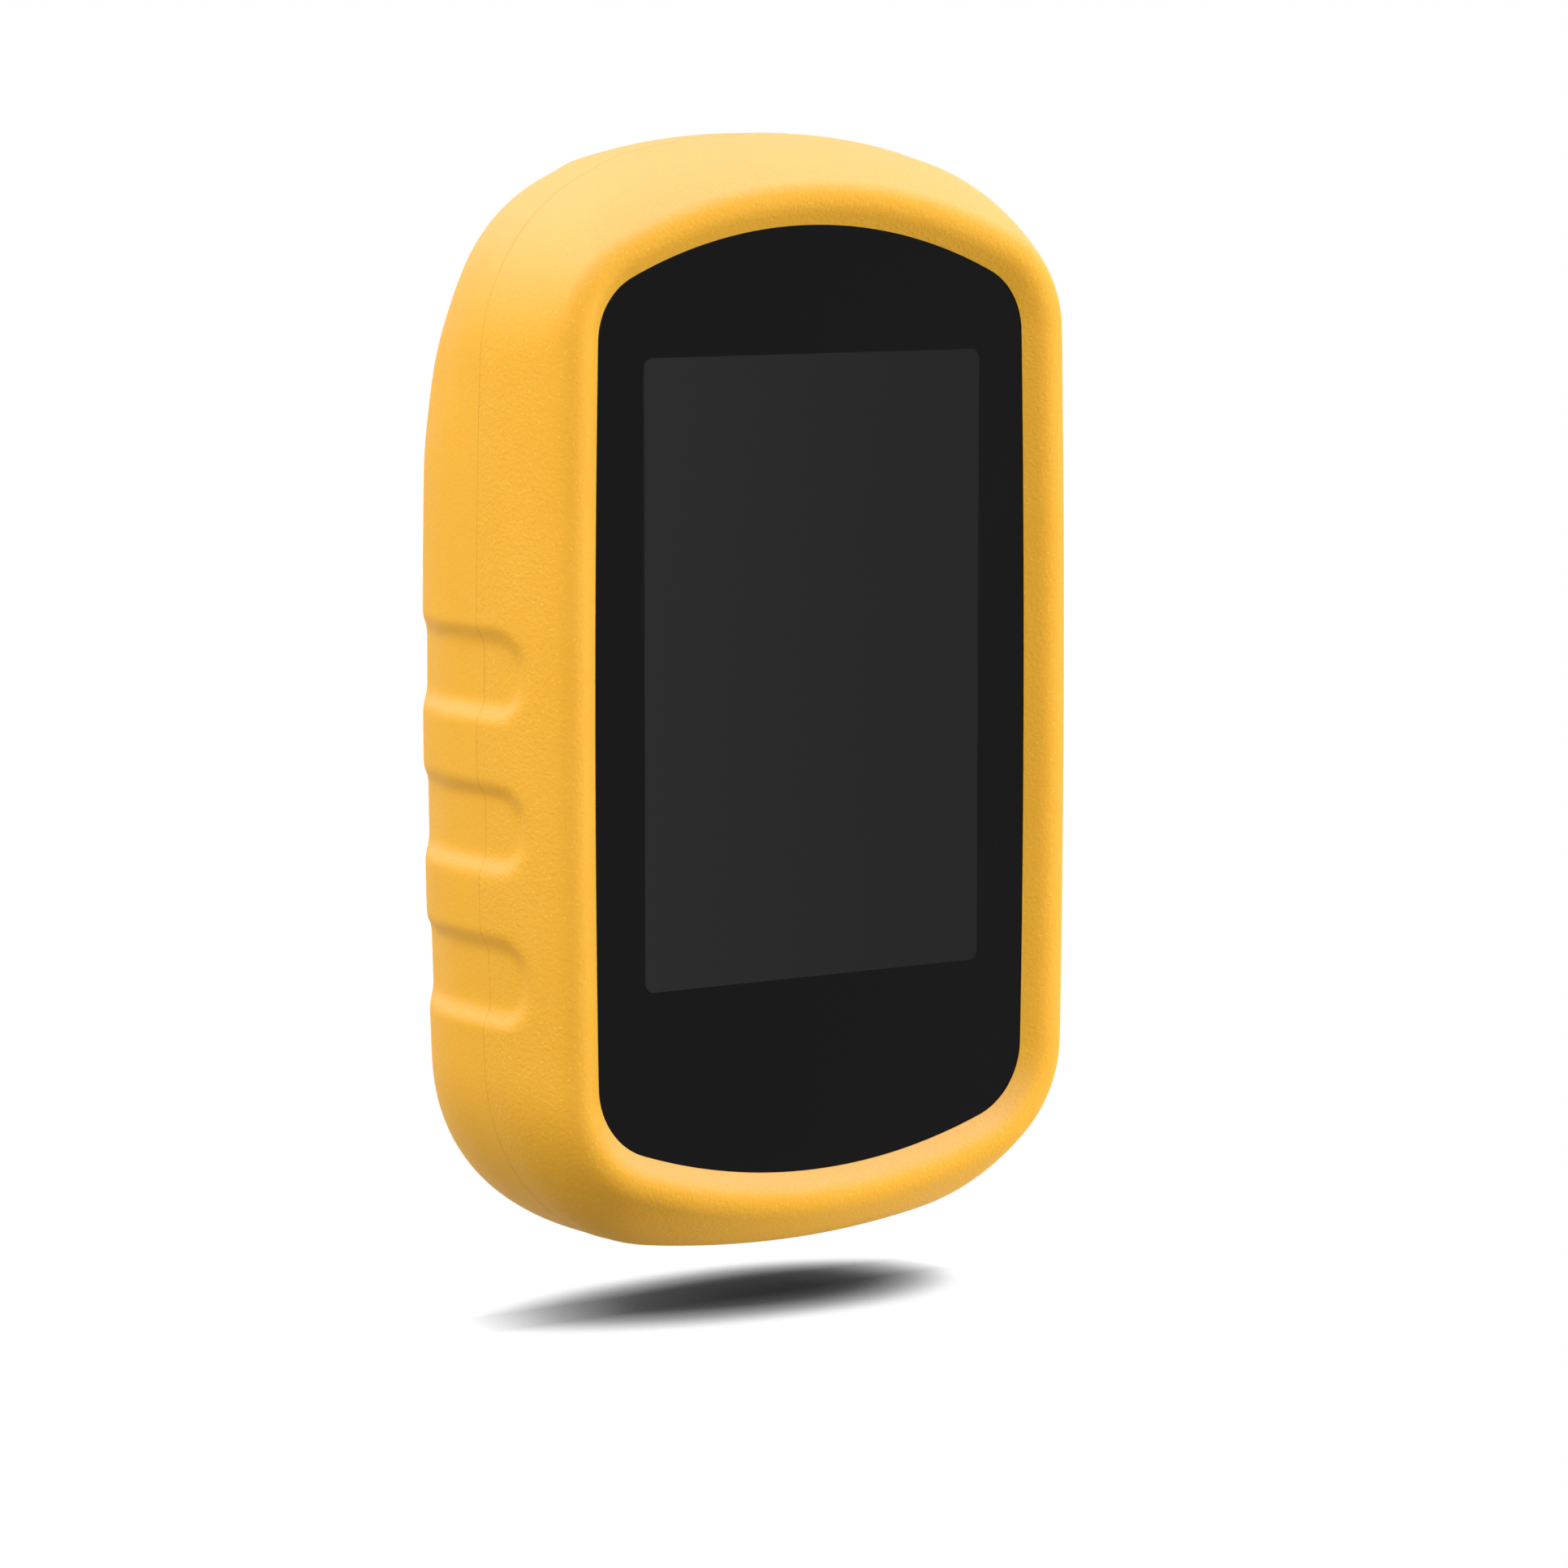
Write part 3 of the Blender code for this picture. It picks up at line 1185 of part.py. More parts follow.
def make_key(finishes):
    flange_end = key_flange_end()
    face_x = half_width_at(KEY_Z, 0.0) - KEY_SINK
    stem = rectangle((KEY_Y, KEY_Z), KEY_WIDTH, KEY_LENGTH, KEY_WIDTH / 2 - FIT, SLOT_STEPS)
    flange = rectangle(
        (KEY_Y, KEY_Z),
        KEY_WIDTH + 2 * KEY_FLANGE,
        KEY_LENGTH + 2 * KEY_FLANGE,
        KEY_WIDTH / 2,
        SLOT_STEPS,
    )
    key = piece("power_key", prism(stem, "X", flange_end - KEY_FLANGE_THICKNESS / 2, face_x), finishes["key"])
    join(key, prism(flange, "X", flange_end - KEY_FLANGE_THICKNESS, flange_end))
    set_origin(key, (flange_end, KEY_Y, KEY_Z))

    stem_end = switch_tip()
    case = rectangle((KEY_Y, KEY_Z), SWITCH_HEIGHT, SWITCH_WIDTH)
    case_shape = prism(case, "X", stem_end - SWITCH_DEPTH, stem_end - FIT)
    switch = piece("power_switch", case_shape, finishes["chip"])
    join(switch, disc("X", (KEY_Y, KEY_Z), SWITCH_STEM_RADIUS, stem_end - 2 * FIT, stem_end, SMALL_STEPS))
    return [key, switch]


def make_finishes():
    return {
        "silicone": material("yellow_silicone", (0.93, 0.49, 0.07), 0.55),
        "glass": material("dark_glass", (0.010, 0.009, 0.010), 0.08),
        "mask": material("black_mask", (0.008, 0.008, 0.009), 0.5),
        "display": material("display_layers", (0.023, 0.023, 0.023), 0.2),
        "rubber": material("black_rubber", (0.015, 0.015, 0.015), 0.7),
        "housing": material("dark_housing", (0.030, 0.031, 0.033), 0.45),
        "key": material("key_rubber", (0.020, 0.020, 0.021), 0.6),
        "white_plastic": material("white_plastic", (0.80, 0.80, 0.78), 0.4),
        "steel": material("sheet_steel", (0.60, 0.60, 0.60), 0.35, 1.0),
        "plated": material("plated_contact", (0.75, 0.73, 0.68), 0.25, 1.0),
        "lock": material("dark_zinc", (0.20, 0.20, 0.21), 0.35, 1.0),
        "board": material("circuit_board", (0.02, 0.13, 0.06), 0.5),
        "chip": material("moulded_chip", (0.020, 0.020, 0.022), 0.6),
        "ceramic": material("antenna_ceramic", (0.70, 0.62, 0.50), 0.6),
        "cell": material("cell_wrap", (0.12, 0.13, 0.14), 0.35),
    }


def build():
    clear_scene()
    finishes = make_finishes()
    unit = bpy.data.objects.new("handheld_unit", None)
    bpy.context.scene.collection.objects.link(unit)

    fixed = [make_sleeve(finishes["silicone"]), make_bezel(finishes["housing"])]
    fixed += make_glass(finishes)
    fixed += make_display(finishes)
    fixed += make_electronics(finishes)
    fixed += make_antenna(finishes)
    fixed.append(make_rear_housing(finishes["housing"]))
    fixed += make_housing_hardware(finishes)
    fixed += make_cells(finishes)
    fixed += make_port(finishes)
    fixed += make_key(finishes)
    fixed.append(make_cap(finishes["rubber"]))
    door = make_door(finishes)
    barrel, ring = make_lock(finishes)
    carry(barrel, ring)
    carry(door, barrel)
    carry(unit, door, *fixed)
    shade()


build()
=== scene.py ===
import json
import math

import bmesh
import bpy
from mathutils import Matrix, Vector


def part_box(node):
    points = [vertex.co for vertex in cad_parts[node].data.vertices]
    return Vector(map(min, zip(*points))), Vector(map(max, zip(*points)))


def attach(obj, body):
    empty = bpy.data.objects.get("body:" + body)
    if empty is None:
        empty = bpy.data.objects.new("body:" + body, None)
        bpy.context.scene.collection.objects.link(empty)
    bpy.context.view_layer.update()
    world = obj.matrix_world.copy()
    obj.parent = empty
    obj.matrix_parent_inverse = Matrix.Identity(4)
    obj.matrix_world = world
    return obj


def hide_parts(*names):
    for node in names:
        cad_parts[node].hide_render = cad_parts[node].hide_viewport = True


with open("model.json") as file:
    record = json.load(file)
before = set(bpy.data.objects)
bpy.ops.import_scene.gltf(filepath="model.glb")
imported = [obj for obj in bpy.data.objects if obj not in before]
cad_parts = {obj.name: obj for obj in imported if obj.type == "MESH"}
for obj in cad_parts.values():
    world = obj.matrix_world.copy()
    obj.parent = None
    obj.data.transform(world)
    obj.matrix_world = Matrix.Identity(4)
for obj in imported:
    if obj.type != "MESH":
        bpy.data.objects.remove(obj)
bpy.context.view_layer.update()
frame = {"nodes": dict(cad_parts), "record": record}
nodes = frame["nodes"]
mm = 0.001
print("frame loaded,", len(nodes), "CAD nodes")


# camera, at the photo's viewing angle
cameraView = {
    "place": (-0.30642, -0.4482, 0.10628),
    "tilt": 83.32,
    "turn": -34.96,
    "lens": 131.7,
    "clip": (0.05, 60),
}

cameraData = bpy.data.cameras.new("camera")
cameraData.lens = cameraView["lens"]
cameraData.clip_start, cameraData.clip_end = cameraView["clip"]
camera = bpy.data.objects.new("camera", cameraData)
camera.location = cameraView["place"]
camera.rotation_euler = (math.radians(cameraView["tilt"]), 0, math.radians(cameraView["turn"]))
bpy.context.scene.collection.objects.link(camera)
bpy.context.scene.camera = camera
bpy.context.scene.view_settings.view_transform = "Standard"


# small node helpers, used by the studio and the finishes below
def startFinish(name):
    finish = bpy.data.materials.new(name)
    finish.use_nodes = True
    return finish, finish.node_tree, finish.node_tree.nodes["Principled BSDF"]


def node(tree, kind, **settings):
    made = tree.nodes.new("ShaderNode" + kind)
    for key, value in settings.items():
        setattr(made, key, value)
    return made


def put(made, **values):
    for key, value in values.items():
        made.inputs[key.replace("_", " ")].default_value = value
    return made


def place(tree, stretch=(1, 1, 1)):
    coords = node(tree, "TexCoord")
    mapping = put(node(tree, "Mapping"), Scale=stretch)
    tree.links.new(coords.outputs["Object"], mapping.inputs["Vector"])
    return mapping.outputs["Vector"]


def noise(tree, vector, scale, detail=3.0, rough=0.5):
    made = put(node(tree, "TexNoise"), Scale=scale, Detail=detail, Roughness=rough)
    tree.links.new(vector, made.inputs["Vector"])
    return made.outputs["Fac"]


def ramp(tree, value, *stops):
    made = node(tree, "ValToRGB")
    points = made.color_ramp.elements
    while len(points) < len(stops):
        points.new(0.5)
    for point, (at, shade) in zip(points, stops):
        point.position = at
        point.color = (*shade, 1) if isinstance(shade, tuple) else (shade, shade, shade, 1)
    tree.links.new(value, made.inputs["Fac"])
    return made.outputs["Color"]


def sums(tree, operation, first, second):
    made = node(tree, "Math", operation=operation)
    for socket, value in zip(made.inputs, (first, second)):
        if isinstance(value, (int, float)):
            socket.default_value = value
        else:
            tree.links.new(value, socket)
    return made.outputs["Value"]


def mixColour(tree, share, first, second):
    made = node(tree, "Mix", data_type="RGBA")
    tree.links.new(share, made.inputs["Factor"])
    for socket, shade in ((made.inputs[6], first), (made.inputs[7], second)):
        if isinstance(shade, tuple):
            socket.default_value = (*shade, 1)
        else:
            tree.links.new(shade, socket)
    return made.outputs[2]


def mapped(tree, value, kind="LINEAR", **limits):
    made = put(node(tree, "MapRange", interpolation_type=kind), **limits)
    tree.links.new(value, made.inputs["Value"])
    return made.outputs["Result"]


def splitAxes(tree, vector):
    made = node(tree, "SeparateXYZ")
    tree.links.new(vector, made.inputs["Vector"])
    return made.outputs


def mixShaders(tree, share, first, second):
    made = node(tree, "MixShader")
    for socket, source in zip(made.inputs, (share, first, second)):
        tree.links.new(source, socket)
    return made.outputs["Shader"]


def alongVector(tree, vector, direction):
    made = node(tree, "VectorMath", operation="DOT_PRODUCT")
    tree.links.new(vector, made.inputs[0])
    made.inputs[1].default_value = direction
    return made.outputs["Value"]


def lengthOf(tree, vector):
    made = node(tree, "VectorMath", operation="LENGTH")
    tree.links.new(vector, made.inputs[0])
    return made.outputs["Value"]


def bump(tree, shader, height, depth, strength=1.0):
    made = put(node(tree, "Bump"), Strength=strength, Distance=depth)
    tree.links.new(height, made.inputs["Height"])
    tree.links.new(made.outputs["Normal"], shader.inputs["Normal"])
    return made


# studio: six soft lamps and a sky that brightens upwards, white where the camera sees it
studio = {
    "lamps": {
        "lampAbove": ((0.41, -0.04, 0.67), (0.85, 0.36), 0.31),
        "lampBehind": ((-0.30, 0.30, 0.65), (0.36, 0.70), 0.27),
        "lampHigh": ((-0.26, -0.34, 0.67), (0.50, 0.45), 0.26),
        "lampFacing": ((-0.06, -0.75, 0.14), (0.60, 0.22), 0.36),
        "lampRight": ((0.66, -0.38, 0.04), (0.25, 0.50), 0.74),
        "lampLeft": ((-0.72, 0.13, 0.22), (0.40, 0.50), 0.55),
    },
    "aim": (0, 0, 0.052),
    "sky": ((0.0, 0.20), (0.50, 0.38), (1.0, 0.50)),
    "floorLevel": -0.0072,
    "floorReach": 6.0,
    "floorShift": (2.0, 1.0),
    # floorBounce: the floor's glow, a painted bounce light
    "floorBounce": ((0.0, 0.62), (0.42, 0.02), (0.62, 0.02), (1.0, 0.18)),
    "darkSide": (-0.95, -0.30, 0),
    "darkReach": (0.012, 0.075),
    # the contact entries shape the floor's painted shadow
    "contactSamples": 32,
    "contactReach": 0.0118,
    "contactEnd": 0.06,
    "contact": ((0.40, 0.024), (0.56, 0.075), (0.74, 0.34), (1.0, 1.0)),
    "contactLean": (-14.0, 0, 0),
    "contactBack": 0.003,
    "contactHalf": 0.003,
    "contactFade": 38.0,
}

for name, (spot, size, level) in studio["lamps"].items():
    lamp = bpy.data.lights.new(name, "AREA")
    lamp.shape = "RECTANGLE"
    lamp.size, lamp.size_y = size
    toward = Vector(studio["aim"]) - Vector(spot)
    lamp.energy = level * math.pi**2 * toward.length_squared
    lampObject = bpy.data.objects.new(name, lamp)
    lampObject.location = spot
    lampObject.rotation_euler = toward.to_track_quat("-Z", "Y").to_euler()
    bpy.context.scene.collection.objects.link(lampObject)


def seenDirectly(tree):
    path = node(tree, "LightPath")
    seen = sums(tree, "ADD", path.outputs["Is Camera Ray"], path.outputs["Is Glossy Ray"])
    return sums(tree, "ADD", seen, path.outputs["Is Transmission Ray"])


world = bpy.data.worlds.new("studio")
bpy.context.scene.world = world
world.use_nodes = True
skyTree = world.node_tree
skyLight = skyTree.nodes["Background"]
skyAxes = splitAxes(skyTree, node(skyTree, "TexCoord").outputs["Generated"])
skyHeight = mapped(skyTree, skyAxes["Z"], From_Min=-1.0, From_Max=1.0)
skyTree.links.new(ramp(skyTree, skyHeight, *studio["sky"]), skyLight.inputs["Color"])
whiteSky = put(node(skyTree, "Background"), Color=(1, 1, 1, 1)).outputs["Background"]
skyShown = mixShaders(skyTree, seenDirectly(skyTree), skyLight.outputs["Background"], whiteSky)
skyTree.links.new(skyShown, skyTree.nodes["World Output"].inputs["Surface"])

floorMesh = bmesh.new()
bmesh.ops.create_grid(floorMesh, x_segments=1, y_segments=1, size=studio["floorReach"])
bmesh.ops.translate(floorMesh, vec=(*studio["floorShift"], studio["floorLevel"]), verts=floorMesh.verts)
floorData = bpy.data.meshes.new("floor")
floorMesh.to_mesh(floorData)
floorMesh.free()
floor = bpy.data.objects.new("floor", floorData)
bpy.context.scene.collection.objects.link(floor)

# the camera sees a white floor with a painted shadow, glowing darker where the object stands close over it
floorFinish, floorTree, floorWhite = startFinish("paleFloor")
put(floorWhite, Base_Color=(0, 0, 0, 1), Emission_Color=(1, 1, 1, 1), Emission_Strength=1.0)
put(floorWhite, Roughness=1.0, Specular_IOR_Level=0.0)
floorSpot = place(floorTree)
contact = node(floorTree, "AmbientOcclusion", samples=studio["contactSamples"])
openAbove = put(contact, Distance=studio["contactReach"]).outputs["AO"]
covered = sums(floorTree, "SUBTRACT", 1.0, openAbove)
# the lean, the back offset and the fade to the sides shift and narrow the painted shadow
leaning = sums(floorTree, "MULTIPLY", covered, alongVector(floorTree, floorSpot, studio["contactLean"]))
offMiddle = sums(floorTree, "SUBTRACT", splitAxes(floorTree, floorSpot)["Y"], studio["contactBack"])
beyond = sums(floorTree, "SUBTRACT", sums(floorTree, "ABSOLUTE", offMiddle, 0.0), studio["contactHalf"])
paler = sums(floorTree, "MULTIPLY", sums(floorTree, "MAXIMUM", beyond, 0.0), studio["contactFade"])
openness = sums(floorTree, "ADD", sums(floorTree, "ADD", openAbove, leaning), paler)
floorShadow = node(floorTree, "Emission")
floorTree.links.new(ramp(floorTree, openness, *studio["contact"]), floorShadow.inputs["Color"])
isFar = sums(floorTree, "GREATER_THAN", lengthOf(floorTree, floorSpot), studio["contactEnd"])
floorSeen = mixShaders(floorTree, isFar, floorShadow.outputs["Emission"], floorWhite.outputs["BSDF"])

# what it throws back onto the object is a painted bounce light: the floor glows, least beside it on the
# studio's dark side
darkStart, darkEnd = studio["darkReach"]
towardDark = alongVector(floorTree, floorSpot, studio["darkSide"])
dimmed = mapped(floorTree, towardDark, From_Min=darkStart, From_Max=darkEnd)
floorGlow = node(floorTree, "Emission")
floorTree.links.new(ramp(floorTree, dimmed, *studio["floorBounce"]), floorGlow.inputs["Color"])
floorMix = mixShaders(floorTree, seenDirectly(floorTree), floorGlow.outputs["Emission"], floorSeen)
# seen from below it is clear, so that the foot shows
fromBelow = node(floorTree, "NewGeometry").outputs["Backfacing"]
floorClear = node(floorTree, "BsdfTransparent").outputs["BSDF"]
floorShown = mixShaders(floorTree, fromBelow, floorMix, floorClear)
floorTree.links.new(floorShown, floorTree.nodes["Material Output"].inputs["Surface"])
floorData.materials.append(floorFinish)
print("studio ready")


# finishes
siliconeLook = {
    "colour": (0.910, 0.458, 0.039),
    "warm": (0.885, 0.438, 0.031),
    "toneScale": 60,
    "toneRange": (0.30, 0.62),
    # painted highlight: the paler colour mixed into faces that look up
    "paintedTopLight": (1.0, 0.59, 0.30),
    "paintedTopLightRange": (0.04, 0.80),
    "paintedTopLightShare": 0.52,
    "speck": (1.0, 0.62, 0.12),
    "speckScale": 1500,
    "speckRange": (0.10, 0.22),
    "speckShare": 0.42,
    # painted shade along the parting line's step
    "partingShade": (0.60, 0.27, 0.016),
    "partingShadeWidth": (0.00005, 0.00012),
    "partingShadeShare": 0.40,
    "partingY": -0.0060,
    "partingBlend": 0.0002,
    "rearShare": 0.45,
    "roughness": (0.48, 0.16),
    "specular": 0.15,
    "grain": 2600,
    "grainRough": 0.6,
    "grainDepth": 0.00010,
    "insideShare": 0.12,
    "insideScale": 0.0012,
    "insideReach": (1.0, 0.45, 0.12),
}


def siliconeFinish():
    look = siliconeLook
    finish, tree, shader = startFinish("yellowSilicone")
    spot = place(tree)
    depthway = splitAxes(tree, spot)["Y"]
    # the mould's front half is grained and flecked, the rear half nearly smooth
    front, rear = look["partingY"] - look["partingBlend"], look["partingY"] + look["partingBlend"]
    half = mapped(tree, depthway, From_Min=front, From_Max=rear, To_Min=1.0, To_Max=look["rearShare"])
    warmAt, plainAt = look["toneRange"]
    tone = noise(tree, spot, look["toneScale"])
    body = ramp(tree, tone, (warmAt, look["warm"]), (plainAt, look["colour"]))
    # faces that look up are painted paler: a painted highlight for the light from above
    upward = splitAxes(tree, node(tree, "TexCoord").outputs["Normal"])["Z"]
    low, high = look["paintedTopLightRange"]
    topLitShare = mapped(tree, upward, "SMOOTHSTEP", From_Min=low, From_Max=high, To_Max=look["paintedTopLightShare"])
    body = mixColour(tree, topLitShare, body, look["paintedTopLight"])
    flecks = put(node(tree, "TexVoronoi"), Scale=look["speckScale"])
    tree.links.new(spot, flecks.inputs["Vector"])
    speckCore, speckEdge = look["speckRange"]
    fleck = ramp(tree, flecks.outputs["Distance"], (speckCore, look["speckShare"]), (speckEdge, 0.0))
    body = mixColour(tree, sums(tree, "MULTIPLY", fleck, half), body, look["speck"])
    # the mould's parting line is a fine step; its shade is painted on as a darker line
    offLine = sums(tree, "ABSOLUTE", sums(tree, "SUBTRACT", depthway, look["partingY"]), 0.0)
    core, edge = look["partingShadeWidth"]
    partingShade = mapped(tree, offLine, From_Min=core, From_Max=edge, To_Min=look["partingShadeShare"], To_Max=0.0)
    body = mixColour(tree, partingShade, body, look["partingShade"])
    tree.links.new(body, shader.inputs["Base Color"])
    put(shader, Specular_IOR_Level=look["specular"], Subsurface_Radius=look["insideReach"])
    put(shader, Subsurface_Weight=look["insideShare"], Subsurface_Scale=look["insideScale"])
    grain = noise(tree, spot, look["grain"], rough=look["grainRough"])
    lowest, extra = look["roughness"]
    rough = sums(tree, "ADD", sums(tree, "MULTIPLY", grain, extra), lowest)
    tree.links.new(rough, shader.inputs["Roughness"])
    made = bump(tree, shader, grain, look["grainDepth"])
    tree.links.new(half, made.inputs["Strength"])
    return finish


glassLook = {
    "border": (0.0042, 0.0036, 0.0040),
    "window": (0.0185, 0.0182, 0.0183),
    # painted shade: the screen's darker side, towards +X
    "windowShadedSide": (0.0125, 0.0123, 0.0125),
    "centre": (0, 0.0551),
    "half": (0.01895, 0.02905),
    "corner": 0.0009,
    "edgeBlur": 0.00003,
    "smearScale": 90,
    "smear": ((0.35, 0.10), (0.70, 0.16)),
    "specular": 0.08,
}


def glassFinish():
    look = glassLook
    finish, tree, shader = startFinish("darkGlass")
    spot = place(tree)
    axes = splitAxes(tree, spot)
    # distance to the edge of the screen window, a rectangle with round corners
    corner, blur = look["corner"], look["edgeBlur"]
    outside = node(tree, "CombineXYZ")
    for axis, socket, centre, half in zip("XZ", "XY", look["centre"], look["half"]):
        offset = sums(tree, "SUBTRACT", axes[axis], centre)
        beyond = sums(tree, "SUBTRACT", sums(tree, "ABSOLUTE", offset, 0.0), half - corner)
        tree.links.new(sums(tree, "MAXIMUM", beyond, 0.0), outside.inputs[socket])
    away = lengthOf(tree, outside.outputs["Vector"])
    inWindow = mapped(tree, away, From_Min=corner + blur, From_Max=corner - blur)
    # the screen is painted darker towards +X, a painted shade across the glass
    across = mapped(tree, axes["X"], From_Min=-look["half"][0], From_Max=look["half"][0])
    shadedScreen = ramp(tree, across, (0.0, look["window"]), (1.0, look["windowShadedSide"]))
    tree.links.new(mixColour(tree, inWindow, look["border"], shadedScreen), shader.inputs["Base Color"])
    smear = noise(tree, spot, look["smearScale"], 4.0)
    tree.links.new(ramp(tree, smear, *look["smear"]), shader.inputs["Roughness"])
    put(shader, Specular_IOR_Level=look["specular"])
    return finish


grainLook = {"toneShare": 12, "range": (0.3, 0.7), "gloss": (0.85, 1.15)}


def grainFinish(name, colour, roughness, grain, depth, metallic=0.0, stretch=(1, 1, 1), variety=0.15):
    finish, tree, shader = startFinish(name)
    spot = place(tree, stretch)
    low, high = grainLook["range"]
    tone = noise(tree, spot, grain / grainLook["toneShare"])
    dark = tuple(part * (1 - variety) for part in colour)
    light = tuple(min(part * (1 + variety), 1.0) for part in colour)
    tree.links.new(ramp(tree, tone, (low, dark), (high, light)), shader.inputs["Base Color"])
    texture = noise(tree, spot, grain, 2.0, 0.6)
    smooth, rough = (roughness * share for share in grainLook["gloss"])
    tree.links.new(ramp(tree, texture, (low, smooth), (high, rough)), shader.inputs["Roughness"])
    put(shader, Metallic=metallic)
    bump(tree, shader, texture, depth)
    return finish


boardLook = {
    "mask": (0.012, 0.105, 0.045),
    "trace": (0.020, 0.170, 0.075),
    "traceScale": 420,
    "traceRange": (0.05, 0.09),
    "pad": (0.62, 0.48, 0.22),
    "padScale": 300,
    "padStray": 0.6,
    "padRange": (0.12, 0.15),
    "roughness": 0.42,
    "depth": 0.00004,
    "depthShare": 0.5,
}


def boardFinish():
    look = boardLook
    finish, tree, shader = startFinish("circuitBoard")
    spot = place(tree)
    cells = node(tree, "TexVoronoi", feature="DISTANCE_TO_EDGE", distance="MANHATTAN")
    put(cells, Scale=look["traceScale"])
    tree.links.new(spot, cells.inputs["Vector"])
    core, edge = look["traceRange"]
    traces = ramp(tree, cells.outputs["Distance"], (core, look["trace"]), (edge, look["mask"]))
    dots = put(node(tree, "TexVoronoi"), Scale=look["padScale"], Randomness=look["padStray"])
    tree.links.new(spot, dots.inputs["Vector"])
    core, edge = look["padRange"]
    onPad = ramp(tree, dots.outputs["Distance"], (core, 1.0), (edge, 0.0))
    tree.links.new(mixColour(tree, onPad, traces, look["pad"]), shader.inputs["Base Color"])
    tree.links.new(onPad, shader.inputs["Metallic"])
    put(shader, Roughness=look["roughness"])
    bump(tree, shader, cells.outputs["Distance"], look["depth"], look["depthShare"])
    return finish


cellLook = {
    "wrap": (0.035, 0.060, 0.085),
    "band": (0.55, 0.56, 0.58),
    "end": (0.70, 0.69, 0.66),
    "wrapSpan": (0.03, 0.955),
    "bandSpan": (0.72, 0.76),
    "scuffScale": 700,
    "scuff": ((0.35, 0.26), (0.70, 0.40)),
    "depth": 0.00001,
}


def cellFinish():
    look = cellLook
    finish, tree, shader = startFinish("cellWrap")
    spot = place(tree)
    low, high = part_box("cell_left")
    along = mapped(tree, splitAxes(tree, spot)["Z"], From_Min=low.z, From_Max=high.z)
    wrap, band, end = look["wrap"], look["band"], look["end"]
    wrapStart, wrapEnd = look["wrapSpan"]
    bandStart, bandEnd = look["bandSpan"]
    colours = ((0.0, end), (wrapStart, wrap), (bandStart, band), (bandEnd, wrap), (wrapEnd, end))
    bare = ((0.0, 1.0), (wrapStart, 0.0), (wrapEnd, 1.0))
    for stops, socket in ((colours, "Base Color"), (bare, "Metallic")):
        bands = ramp(tree, along, *stops)
        bands.node.color_ramp.interpolation = "CONSTANT"
        tree.links.new(bands, shader.inputs[socket])
    scuff = noise(tree, spot, look["scuffScale"], 4.0)
    tree.links.new(ramp(tree, scuff, *look["scuff"]), shader.inputs["Roughness"])
    bump(tree, shader, scuff, look["depth"])
    return finish


brushed = (1, 1, 0.06)
finishes = {
    "yellow_silicone": siliconeFinish(),
    "dark_glass": glassFinish(),
    "black_mask": grainFinish("blackMask", (0.008, 0.008, 0.009), 0.60, 5000, 0.000004),
    "display_layers": grainFinish("displayLayers", (0.023, 0.023, 0.023), 0.20, 3000, 0.000002),
    "black_rubber": grainFinish("blackRubber", (0.017, 0.017, 0.017), 0.66, 3200, 0.00003),
    "dark_housing": grainFinish("darkHousing", (0.030, 0.031, 0.033), 0.50, 3600, 0.00004),
    "key_rubber": grainFinish("keyRubber", (0.021, 0.021, 0.022), 0.60, 3000, 0.00003),
    "white_plastic": grainFinish("whitePlastic", (0.80, 0.80, 0.78), 0.55, 2500, 0.00001, variety=0.03),
    "sheet_steel": grainFinish("sheetSteel", (0.60, 0.60, 0.60), 0.32, 2400, 0.00001, 1.0, brushed, 0.08),
    "plated_contact": grainFinish("plating", (0.75, 0.73, 0.68), 0.20, 1800, 0.000004, 1.0, variety=0.06),
    "dark_zinc": grainFinish("darkZinc", (0.20, 0.20, 0.21), 0.36, 2600, 0.00001, 1.0, variety=0.12),
    "circuit_board": boardFinish(),
    "moulded_chip": grainFinish("mouldedChip", (0.021, 0.021, 0.023), 0.58, 4200, 0.00002),
    "antenna_ceramic": grainFinish("antennaCeramic", (0.70, 0.62, 0.50), 0.62, 2800, 0.00001, variety=0.05),
    "cell_wrap": cellFinish(),
}

slotOf = {row["node"]: row["material_slot"] for row in frame["record"]["subparts"]}
for name, cadNode in nodes.items():
    cadNode.data.materials.clear()
    cadNode.data.materials.append(finishes[slotOf[name]])
print("finishes ready,", len(finishes))


def addPiece(name, shape, slotName, body, *replaced):
    data = bpy.data.meshes.new(name)
    shape.to_mesh(data)
    shape.free()
    data.materials.append(finishes[slotName])
    made = bpy.data.objects.new(name, data)
    bpy.context.scene.collection.objects.link(made)
    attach(made, body)
    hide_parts(*replaced)
    return made


